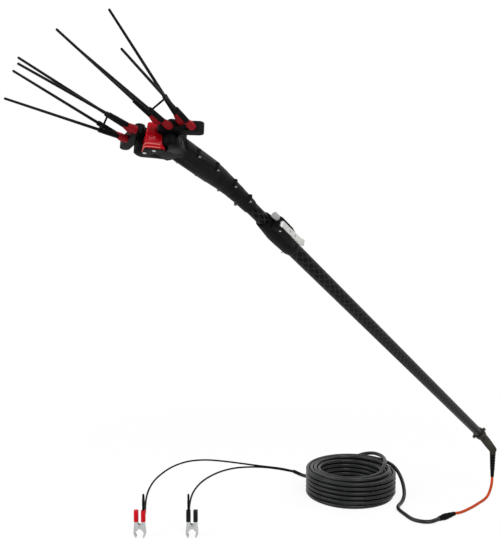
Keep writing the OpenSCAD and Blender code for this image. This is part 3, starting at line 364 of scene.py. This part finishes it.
def finish(name):
    """The named finish, made once."""
    looks = bpy.context.scene.harvester_finishes
    if name not in FINISHES:
        # The grained ones give a name, colour, roughness, grain, depth of grain and spread of tone
        makers = {
            "nylon": lambda: grained("black_nylon", tuple(looks.moulding), 0.46, 1100.0, 0.16, 1.8),
            "bar": lambda: grained("bar_nylon", lighter(tuple(looks.moulding), 0.9), 0.42, 800.0, 0.12, 1.7),
            "cover": lambda: grained("red_gloss", tuple(looks.cover), 0.24, 500.0, 0.02, 1.12,
                                     Specular_IOR_Level=0.06, Coat_Weight=0.07),
            # Cover ribs: the whole rib painted pale red as a painted highlight
            "rib": lambda: grained("pale_red_painted_highlight", (0.66, 0.13, 0.12), 0.3, 500.0, 0.02, 1.15),
            "socket": lambda: grained("brick_nylon", tuple(looks.socket), 0.5, 700.0, 0.14, 1.5),
            "rubber": lambda: grained("soft_rubber", tuple(looks.rubber), 0.62, 1300.0, 0.18, 1.6),
            "rod": lambda: grained("carbon_rod", (0.0055, 0.0055, 0.006), 0.36, 900.0, 0.06, 2.2),
            "elbow": lambda: grained("grey_elbow", tuple(looks.elbow), 0.55, 650.0, 0.35, 1.7),
            "lever": lambda: grained("silver_paint", tuple(looks.lever), 0.36, 500.0, 0.05, 0.86,
                                     Metallic=0.25),
            "knob": lambda: grained("knob_grey", tuple(looks.knob), 0.48, 700.0, 0.1, 1.25),
            "vinyl_red": lambda: grained("vinyl_red", tuple(looks.red_grip), 0.33, 260.0, 0.05, 1.15),
            "vinyl_black": lambda: grained("vinyl_black", (0.008, 0.008, 0.0085), 0.33, 260.0, 0.05, 1.7),
            "steel": lambda: metal("bright_steel", (0.56, 0.57, 0.58), 0.32),
            "dark_steel": lambda: metal("blackened_steel", (0.16, 0.16, 0.165), 0.42),
            "zinc": lambda: metal("zinc_sheet", (0.58, 0.59, 0.60), 0.34,
                                  turn=(0, 0, -CLAMP_TURN), stretch=(6, 1, 1), scale=120.0),
            "bronze": lambda: metal("bronze_bush", (0.52, 0.33, 0.13), 0.4),
            "carbon": lambda: carbon("carbon_outer", looks, looks.wrap_lines, looks.wrap_pitch),
            "carbon_inner": lambda: carbon("carbon_inner", looks, lines=6, pitch=0.026),
            "sheath": lambda: sheath("black_sheath", tuple(looks.sheath), 0.3,
                                     spread=1.8, coat=0.12, shine=0.16),
            "lead": lambda: sheath("lead_sheath", lighter(tuple(looks.sheath), 0.3), 0.45,
                                   spread=1.5, shine=0.02),
            "orange": lambda: sheath("orange_sheath", tuple(looks.orange), 0.42, spread=1.25),
        }
        FINISHES[name] = makers[name]()
    return FINISHES[name]


# Making pieces

def paint_node(name, look):
    """A CAD node whose shape is right keeps it and gets a finish."""
    mesh = NODES[name].data
    mesh.materials.clear()
    mesh.materials.append(finish(look))


def settle(mesh_or_curve, name, body, look, nodes=()):
    """A new object at the origin that rides on a body and may stand for CAD nodes."""
    piece = bpy.data.objects.new(name, mesh_or_curve)
    bpy.context.scene.collection.objects.link(piece)
    mesh_or_curve.materials.append(finish(look))
    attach(piece, body)
    if nodes:
        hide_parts(*nodes)
    return piece


def finish_mesh(shape, name, body, look, nodes=(), smooth=35, turn=True):
    """Turns a bmesh into a settled piece with smooth faces and sharp edges over an angle."""
    if turn:
        bmesh.ops.recalc_face_normals(shape, faces=shape.faces)
    for face in shape.faces:
        face.smooth = True
    for edge in shape.edges:
        edge.smooth = not (len(edge.link_faces) == 2 and edge.calc_face_angle(0) > math.radians(smooth))
    mesh = bpy.data.meshes.new(name)
    shape.to_mesh(mesh)
    shape.free()
    return settle(mesh, name, body, look, nodes)


def carved(shape, cutter):
    """The shape less a cutter, both closed."""
    meshes = []
    for part in (shape, cutter):
        mesh = bpy.data.meshes.new("carving")
        part.to_mesh(mesh)
        part.free()
        meshes.append(mesh)
    body, tool = (bpy.data.objects.new("carving", mesh) for mesh in meshes)
    for item in (body, tool):
        bpy.context.scene.collection.objects.link(item)
    cut = body.modifiers.new("cut", "BOOLEAN")
    cut.object = tool
    cut.solver = "EXACT"
    result = bmesh.new()
    result.from_object(body, bpy.context.evaluated_depsgraph_get())
    for item, mesh in zip((body, tool), meshes):
        bpy.data.objects.remove(item)
        bpy.data.meshes.remove(mesh)
    return result


def round_edges(shape, edges, radius, segments):
    """Rounds some edges of a shape."""
    bmesh.ops.bevel(shape, geom=edges, offset=radius, offset_type="OFFSET", affect="EDGES",
                    segments=segments, profile=0.5, material=-1, clamp_overlap=True)


def deepen(shape, depth):
    """Gives the faces of a sheet a depth along Z."""
    grown = bmesh.ops.extrude_face_region(shape, geom=list(shape.faces))
    low = [v for v in grown["geom"] if isinstance(v, bmesh.types.BMVert)]
    bmesh.ops.translate(shape, verts=low, vec=(0, 0, depth))


def rounded(node, look, radius=None, segments=2, angle=28, cutter=None, shift=(0, 0, 0)):
    """A copy of a CAD node with its hard edges rounded, in the node's place."""
    looks = bpy.context.scene.harvester_finishes
    shape = bmesh.new()
    shape.from_mesh(NODES[node].data)
    bmesh.ops.remove_doubles(shape, verts=shape.verts, dist=2e-6)
    bmesh.ops.translate(shape, verts=shape.verts, vec=shift)
    if cutter:
        shape = carved(shape, cutter)
    flat = math.radians(0.6)
    bmesh.ops.dissolve_limit(shape, angle_limit=flat, verts=shape.verts, edges=shape.edges)
    hard = [e for e in shape.edges
            if len(e.link_faces) == 2 and e.calc_face_angle(0) > math.radians(angle)]
    if hard:
        round_edges(shape, hard, radius or looks.edge, segments)
    return finish_mesh(shape, node + "_rounded", BODY_OF[node], look, [node])


def filleted(corners, cuts, steps=6):
    """An open line through corners, each inner corner rounded over a cut's length on both sides of it."""
    corners = [Vector(c) for c in corners]
    line = [corners[0]]
    for before, corner, after, cut in zip(corners, corners[1:], corners[2:], cuts):
        start, end = (corner + (other - corner).normalized() * min(cut, 0.9 * (other - corner).length)
                      for other in (before, after))
        for k in range(steps + 1):
            t = k / steps
            line.append(start * (1 - t) ** 2 + corner * (2 * t * (1 - t)) + end * t ** 2)
    return line + [corners[-1]]


def lofted(rings, lid=False):
    """A wall through open rings with the same number of points; a lid closes the first ring."""
    shape = bmesh.new()
    rows = [[shape.verts.new(spot) for spot in ring] for ring in rings]
    for upper, lower in zip(rows, rows[1:]):
        for a, b, c, d in zip(upper, upper[1:], lower[1:], lower):
            shape.faces.new((a, b, c, d))
    if lid:
        shape.faces.new(rows[0])
    return shape


# Cords

def smooth_route(points, step=4.0):
    """Points along a smooth curve through the route, about step millimetres apart."""
    points = [Vector(p) for p in points]
    ends = [points[0] * 2 - points[1], *points, points[-1] * 2 - points[-2]]
    line = []
    for a, b, c, d in zip(ends, ends[1:], ends[2:], ends[3:]):
        count = max(2, round((c - b).length / step))
        for k in range(count):
            t = k / count
            line.append(0.5 * (2 * b + (c - a) * t + (2 * a - 5 * b + 4 * c - d) * t ** 2
                               + (3 * b - a - 3 * c + d) * t ** 3))
    return line + [points[-1]]


def coil_spot(turns):
    """Middle of the coil's cable after a number of turns, in millimetres."""
    climb_turns = (COIL_TURNS - (COIL_LAYERS - 1) / 2) / COIL_LAYERS
    cycle = climb_turns + 0.5
    layer = min(COIL_LAYERS - 1, math.floor(turns / cycle))
    rest = turns - layer * cycle
    climb, shift = min(rest, climb_turns), max(0.0, rest - climb_turns) * 2
    radius = COIL_R - (layer + shift) * COIL_LAYER
    angle = math.radians(COIL_START + 360 * turns)
    up = climb if layer % 2 else climb_turns - climb
    return COIL_AT + Vector((radius * math.cos(angle), radius * math.sin(angle), COIL_LOW + up * COIL_ROW))


def lay_cord(name, line, diameter, look, slot, nodes, **facts):
    """A round cable along a line in millimetres."""
    curve = bpy.data.curves.new(name, "CURVE")
    curve.dimensions = "3D"
    curve.bevel_depth = diameter / 2000
    curve.bevel_resolution = 5
    curve.use_fill_caps = True
    spline = curve.splines.new("POLY")
    spline.points.add(len(line) - 1)
    for point, spot in zip(spline.points, line):
        spot.z = max(spot.z, FLOOR * 1000 + diameter / 2)
        point.co = (*(spot / 1000), 1.0)
    spline.use_smooth = True
    piece = settle(curve, name, "pole", look, nodes)
    length = sum((b - a).length for a, b in zip(line, line[1:])) / 1000
    line[0] / 1000
    return piece


class HARVESTER_OT_cords(bpy.types.Operator):
    """Lay the orange cable, the black supply cable with its coil, and the two battery leads"""

    bl_idname = "harvester.cords"
    bl_label = "Cords"

    def execute(self, context):
        lay_cord("orange_cord", smooth_route(ORANGE_ROUTE), ORANGE_WIDE, "orange", "cable_orange",
                 ["orange_cable"],
                 far_end="connector", stiffness="medium", lay="loose", with_pieces=[NODES["connector_plug"]])
        count = round(COIL_TURNS * COIL_POINTS)
        coil = [coil_spot(COIL_TURNS * k / count) for k in range(count + 1)]
        before = coil[0] - COIL_LEAD * (coil[1] - coil[0]).normalized()
        after = coil[-1] + COIL_LEAD * (coil[-1] - coil[-2]).normalized()
        way_in = smooth_route([*SUPPLY_ROUTE, before, coil[0]])
        way_out = smooth_route([coil[-1], after, *TAIL_ROUTE])
        lay_cord("supply_cord", way_in[:-1] + coil + way_out[1:], SUPPLY_WIDE, "sheath", "cable_black",
                 ["supply_cable", "cable_coil", "coil_tail"],
                 far_end="fitting", stiffness="medium", lay="coiled",
                 with_pieces=[NODES["connector_socket"], NODES["lead_splitter"]])
        for colour, route in (("red", RED_ROUTE), ("black", BLACK_ROUTE)):
            pieces = [NODES[f"{colour}_{part}"] for part in ("fixed_jaw", "swing_jaw", "clamp_pin")]
            pieces += [bpy.data.objects[f"{colour}_{part}_rounded"] for part in ("fixed_grip", "swing_grip")]
            lay_cord(f"{colour}_battery_lead", smooth_route(route), LEAD_WIDE, "lead", "cable_black",
                     [f"{colour}_lead"],
                     far_end="connector", stiffness="medium", lay="loose", with_pieces=pieces)
        return {"FINISHED"}


class HARVESTER_OT_tubes(bpy.types.Operator):
    """Finish the two carbon tubes and the guide"""

    bl_idname = "harvester.tubes"
    bl_label = "Tubes"

    def execute(self, context):
        paint_node("outer_tube", "carbon")
        paint_node("inner_tube", "carbon_inner")
        paint_node("tube_guide", "nylon")
        return {"FINISHED"}


class HARVESTER_OT_head(bpy.types.Operator):
    """Round and finish the head's shells, nose cover and screws"""

    bl_idname = "harvester.head"
    bl_label = "Head"

    def execute(self, context):
        rounded("upper_shell", "nylon", radius=0.0012)
        rounded("lower_shell", "nylon", radius=0.0012, cutter=self.nose_room())
        self.nose_cover()
        self.nose_floor()
        for side in (-1, 1):
            self.cheek(side)
        for share in RIB_SHARES:
            self.nose_rib(share)
        rounded("shell_screws", "dark_steel", radius=0.0003)
        rounded("cover_screws", "steel", radius=0.0003, shift=HEAD_TURN @ SCREW_SHIFT)
        return {"FINISHED"}

    def nose_room(self):
        """The room that the cover's skirt takes from the lower shell's lip."""
        plan = ROOM_HALF + [(x, -y) for x, y in reversed(ROOM_HALF)]
        shape = bmesh.new()
        shape.faces.new([shape.verts.new((x, y, ROOM_TOP)) for x, y in plan])
        deepen(shape, ROOM_DEPTH)
        bmesh.ops.transform(shape, matrix=HEAD, verts=shape.verts)
        bmesh.ops.recalc_face_normals(shape, faces=shape.faces)
        return shape

    def nose_cover(self):
        """The red cover: a blunt wedge that widens downwards and closes the gear room in front."""
        rings = []
        for inset, drop in CROWN_ROUND:
            shrink = 1 - inset / CROWN_REACH
            crown = [((x - CROWN_MIDDLE) * shrink + CROWN_MIDDLE, y * shrink, z + drop) for x, y, z in CROWN]
            rings.append(filleted(crown, CORNER_CUTS))
        rings += [filleted(ring, CORNER_CUTS) for ring in (NOSE, GEAR_TOP, GEAR_LOW, SKIRT)]
        self.wall_piece(lofted(rings, lid=True), "nose_cover", "cover", COVER_WALL, ["red_cover"])

    def nose_floor(self):
        """The black lip under the cover, from the skirt's lower edge down and back to the lower shell."""
        shape = bmesh.new()
        spots = [(x * LIP_LONG + LIP_AHEAD, y * LIP_BROAD, z + LIP_GAP) for x, y, z in SKIRT]
        spots += [(LIP_BACK, y, LIP_TOP) for y in (-LIP_HALF, LIP_HALF)]
        outline = [shape.verts.new(spot) for spot in spots]
        last = len(SKIRT) - 1
        shape.faces.new(outline[:last + 1])
        shape.faces.new((*outline[last:], outline[0]))
        deepen(shape, LIP_THICK)
        round_edges(shape, self.uprights(shape, False), *LIP_SIDE_ROUND)
        round_edges(shape, self.uprights(shape, True), *LIP_MIDDLE_ROUND)
        bmesh.ops.recalc_face_normals(shape, faces=shape.faces)
        bmesh.ops.transform(shape, matrix=HEAD, verts=shape.verts)
        finish_mesh(shape, "nose_floor", "head", "nylon")

    def cheek(self, side):
        """A moulded wall round a shaft boss, with a rounded lower edge, that runs back into the neck."""
        line = filleted([(x, y, 0) for x, y in CHEEK], [CHEEK_CUT] * (len(CHEEK) - 2), CHEEK_STEPS)
        ways = [(b - a).normalized() for a, b in zip([line[0], *line], [*line[1:], line[-1]])]
        rings = [[(spot.x, spot.y * side, CHEEK_TOP) for spot in line]]
        for inset, lift in CHEEK_ROUND:
            ring = []
            for spot, way in zip(line, ways):
                inner = spot + Vector((-way.y, way.x, 0)) * inset
                rise = min(0, inner.x - CHEEK_RISE_FROM) * CHEEK_RISE_SHARE
                ring.append((inner.x, inner.y * side, CHEEK_FLOOR - lift + rise))
            rings.append(ring)
        rings.append([(x, CHEEK_INNER * side, z) for x, _, z in rings[-1]])
        self.wall_piece(lofted(rings), "left_cheek" if side > 0 else "right_cheek", "nylon", CHEEK_WALL)

    def nose_rib(self, share):
        """A raised rib round the lower front of the cover, painted pale red all over as a painted highlight.
        """
        upper, lower = (filleted(ring, CORNER_CUTS) for ring in (GEAR_LOW, SKIRT))
        rings = []
        for level in (share, share + RIB_BAND):
            line = [a.lerp(b, level) for a, b in zip(upper, lower)]
            rings.append(line[RIB_TRIM:-RIB_TRIM])
        self.wall_piece(lofted(rings), f"nose_rib_{round(share * 100)}", "rib", RIB_WALL)

    def uprights(self, shape, middle):
        """The upright edges of a wall: the one at its middle, or those on its sides."""
        found = []
        for edge in shape.edges:
            first, second = (vert.co for vert in edge.verts)
            upright = len(edge.link_faces) == 2 and abs(first.z - second.z) > UPRIGHT_LEAST
            if upright and (abs(first.y) < ON_MIDDLE) == middle and edge.calc_face_angle(0) > UPRIGHT_ANGLE:
                found.append(edge)
        return found

    def forwardness(self, face):
        """How much a face of the head looks along X, in front more than behind."""
        return face.normal.x ** 2 * (face.calc_center_median().x + HEAD_LONG)

    def wall_piece(self, shape, name, look, thickness, nodes=()):
        """A wall on a shape in the head's frame, in millimetres; a negative thickness grows inwards."""
        bmesh.ops.remove_doubles(shape, verts=shape.verts, dist=0.001)
        bmesh.ops.recalc_face_normals(shape, faces=shape.faces)
        front = max(shape.faces, key=self.forwardness)
        if front.normal.x < 0:
            bmesh.ops.reverse_faces(shape, faces=shape.faces)
        bmesh.ops.transform(shape, matrix=HEAD, verts=shape.verts)
        piece = finish_mesh(shape, name, "head", look, nodes, turn=False)
        wall = piece.modifiers.new("wall", "SOLIDIFY")
        wall.thickness = abs(thickness) / 1000
        wall.offset = math.copysign(1, thickness)


class HARVESTER_OT_drive(bpy.types.Operator):
    """Finish the motor, gearbox, crank, fork, gears, shafts and bushes"""

    bl_idname = "harvester.drive"
    bl_label = "Drive"

    def execute(self, context):
        for node in ("motor", "gearbox", "crank", "drive_fork"):
            paint_node(node, "steel")
        for side in ("left", "right"):
            paint_node(f"{side}_gear", "steel")
            paint_node(f"{side}_shaft", "steel")
        paint_node("shaft_bushes", "bronze")
        return {"FINISHED"}


class HARVESTER_OT_combs(bpy.types.Operator):
    """Round and finish both combs"""

    bl_idname = "harvester.combs"
    bl_label = "Combs"

    def execute(self, context):
        for side in ("left", "right"):
            rounded(f"{side}_bar", "bar", radius=0.0016, segments=3)
            rounded(f"{side}_sockets", "socket", radius=0.0005)
            rounded(f"{side}_clips", "bar", radius=0.0004)
            rounded(f"{side}_nut", "bar", radius=0.0005)
            paint_node(f"{side}_sleeves", "rubber")
            paint_node(f"{side}_rods", "rod")
        return {"FINISHED"}


class HARVESTER_OT_lever_clamp(bpy.types.Operator):
    """Round and finish the lever clamp on the pole"""

    bl_idname = "harvester.lever_clamp"
    bl_label = "Lever clamp"

    def execute(self, context):
        rounded("clamp_sleeve", "nylon", radius=0.0009)
        rounded("clamp_lever", "lever", radius=0.0007, segments=3)
        rounded("tension_knob", "knob", radius=0.0006)
        for node in ("lever_pin", "sleeve_screws"):
            paint_node(node, "steel")
        paint_node("pressure_shoe", "rubber")
        return {"FINISHED"}


class HARVESTER_OT_foot(bpy.types.Operator):
    """Round and finish the foot elbow, its boot and the cable's connector"""

    bl_idname = "harvester.foot"
    bl_label = "Foot"

    def execute(self, context):
        rounded("end_elbow", "elbow", radius=0.001)
        paint_node("elbow_screws", "steel")
        for node in ("strain_relief_boot", "connector_plug", "connector_socket", "lead_splitter"):
            paint_node(node, "rubber")
        return {"FINISHED"}


class HARVESTER_OT_battery_clamps(bpy.types.Operator):
    """Finish the two battery clamps and wind their springs"""

    bl_idname = "harvester.battery_clamps"
    bl_label = "Battery clamps"

    def execute(self, context):
        for colour in ("red", "black"):
            for part in ("fixed_jaw", "swing_jaw"):
                paint_node(f"{colour}_{part}", "zinc")
            paint_node(f"{colour}_clamp_pin", "steel")
            for part in ("fixed_grip", "swing_grip"):
                rounded(f"{colour}_{part}", f"vinyl_{colour}", radius=0.0035, segments=4)
            low, high = (Vector(corner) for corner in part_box(f"{colour}_clamp_spring"))
            self.wind(colour, (low + high) / 2)
        return {"FINISHED"}

    def wind(self, colour, middle, radius=0.005, wire=0.0016, width=0.0077, turns=4):
        """A spring of round wire across a clamp, in metres."""
        turn = Matrix.Rotation(CLAMP_TURN, 3, "Z")
        curve = bpy.data.curves.new(f"{colour}_spring_wire", "CURVE")
        curve.dimensions = "3D"
        curve.bevel_depth = wire / 2
        curve.bevel_resolution = 3
        curve.use_fill_caps = True
        count = turns * 32
        spline = curve.splines.new("POLY")
        spline.points.add(count)
        for k, point in enumerate(spline.points):
            angle = 2 * math.pi * turns * k / count
            spot = Vector((radius * math.cos(angle), width * (k / count - 0.5), radius * math.sin(angle)))
            point.co = (*(middle + turn @ spot), 1.0)
        settle(curve, f"{colour}_spring_wire", "pole", "steel", [f"{colour}_clamp_spring"])


class HARVESTER_OT_stage(bpy.types.Operator):
    """Set the floor, the soft studio light and the camera"""

    bl_idname = "harvester.stage"
    bl_label = "Stage"

    def execute(self, context):
        self.camera(context)
        self.floor()
        self.light(context)
        context.scene.view_settings.view_transform = "Standard"
        return {"FINISHED"}

    def camera(self, context):
        lens = bpy.data.cameras.new("camera")
        lens.sensor_width = SENSOR
        lens.lens = FOCAL_PIXELS * SENSOR / PHOTO_HEIGHT
        lens.clip_end = 100
        right = CAMERA_RIGHT.normalized()
        flat_back = right.cross(Vector((0, 0, 1)))
        back = flat_back * math.cos(CAMERA_PITCH) + Vector((0, 0, math.sin(CAMERA_PITCH)))
        up = back.cross(right)
        camera = bpy.data.objects.new("camera", lens)
        camera.matrix_world = Matrix((right, up, back)).transposed().to_4x4()
        camera.location = CAMERA_AT
        context.scene.collection.objects.link(camera)
        context.scene.camera = camera

    def floor(self):
        shape = bmesh.new()
        bmesh.ops.create_grid(shape, x_segments=1, y_segments=1, size=FLOOR_HALF)
        bmesh.ops.translate(shape, verts=shape.verts, vec=(0, 0, FLOOR - FLOOR_GAP))
        mesh = bpy.data.meshes.new("floor")
        shape.to_mesh(mesh)
        shape.free()
        floor = bpy.data.objects.new("floor", mesh)
        bpy.context.scene.collection.objects.link(floor)
        paint = Paint("floor_white")
        ray = paint.node("ShaderNodeLightPath", out="Is Camera Ray")
        rays = ray.socket.node.outputs
        for kind in WHITE_RAYS:
            ray = ray.math("MAXIMUM", Wire(paint, rays[kind]))
        away = paint.node("ShaderNodeVectorMath", {"operation": "DISTANCE"},
                          {0: paint.place(), 1: GLOW_AT}, "Value")
        plain = paint.node("ShaderNodeBsdfDiffuse", None, {"Color": (0.9, 0.9, 0.9)})
        glow = paint.node("ShaderNodeEmission", None, {"Color": (1, 1, 1), "Strength": 1.0})
        white = ray * paint.spread(away, GLOW_NEAR, GLOW_FAR, GLOW_LEAST, GLOW_MOST)
        both = paint.node("ShaderNodeMixShader", None, {0: white, 1: plain, 2: glow})
        output = paint.tree.nodes["Material Output"]
        paint.tree.links.new(both.socket, output.inputs["Surface"])
        mesh.materials.append(paint.material)

    def light(self, context):
        world = bpy.data.worlds.new("studio")
        context.scene.world = world
        world.use_nodes = True
        tree = world.node_tree
        tree.nodes.clear()
        ray = tree.nodes.new("ShaderNodeLightPath")
        seen = tree.nodes.new("ShaderNodeBackground")
        lit = tree.nodes.new("ShaderNodeBackground")
        both = tree.nodes.new("ShaderNodeMixShader")
        output = tree.nodes.new("ShaderNodeOutputWorld")
        seen.inputs["Color"].default_value = WHITE
        lit.inputs["Color"].default_value = WHITE
        lit.inputs["Strength"].default_value = SKY
        either = ray.outputs["Is Camera Ray"]
        for kind in WHITE_RAYS:
            larger = tree.nodes.new("ShaderNodeMath")
            larger.operation = "MAXIMUM"
            tree.links.new(either, larger.inputs[0])
            tree.links.new(ray.outputs[kind], larger.inputs[1])
            either = larger.outputs[0]
        tree.links.new(either, both.inputs[0])
        tree.links.new(lit.outputs[0], both.inputs[1])
        tree.links.new(seen.outputs[0], both.inputs[2])
        tree.links.new(both.outputs[0], output.inputs["Surface"])
        for name, spot, aim, size, watts in (
            ("key", (2.6, 2.6, 3.2), (0.6, 0, 0.2), 2.4, 130),
            ("fill", (2.8, -2.2, 1.6), (0.4, -0.3, 0.0), 2.6, 60),
            ("rim", (-1.8, 1.2, 2.8), (0.6, 0, 0.3), 2.0, 32),
        ):
            lamp = bpy.data.lights.new(name, "AREA")
            lamp.size = size
            lamp.energy = watts
            item = bpy.data.objects.new(name, lamp)
            item.location = spot
            item.rotation_euler = (Vector(aim) - Vector(spot)).to_track_quat("-Z", "Y").to_euler()
            context.scene.collection.objects.link(item)


class HARVESTER_PT_panel(bpy.types.Panel):
    """Sidebar panel with the finishes and the pieces"""

    bl_idname = "HARVESTER_PT_panel"
    bl_label = "Olive harvester"
    bl_space_type = "VIEW_3D"
    bl_region_type = "UI"
    bl_category = "Harvester"

    def draw(self, context):
        for name in HarvesterFinishes.__annotations__:
            self.layout.prop(context.scene.harvester_finishes, name)
        for operator in OPERATORS:
            self.layout.operator(operator.bl_idname)


OPERATORS = (
    HARVESTER_OT_stage, HARVESTER_OT_battery_clamps, HARVESTER_OT_cords, HARVESTER_OT_tubes,
    HARVESTER_OT_head, HARVESTER_OT_drive, HARVESTER_OT_combs, HARVESTER_OT_lever_clamp, HARVESTER_OT_foot,
)


def register():
    for cls in (HarvesterFinishes, *OPERATORS, HARVESTER_PT_panel):
        bpy.utils.register_class(cls)
    bpy.types.Scene.harvester_finishes = PointerProperty(type=HarvesterFinishes)


def unregister():
    del bpy.types.Scene.harvester_finishes
    for cls in reversed((HarvesterFinishes, *OPERATORS, HARVESTER_PT_panel)):
        bpy.utils.unregister_class(cls)


def main():
    register()
    for operator in OPERATORS:
        group, name = operator.bl_idname.split(".")
        getattr(getattr(bpy.ops, group), name)()


if __name__ == "__main__":
    main()
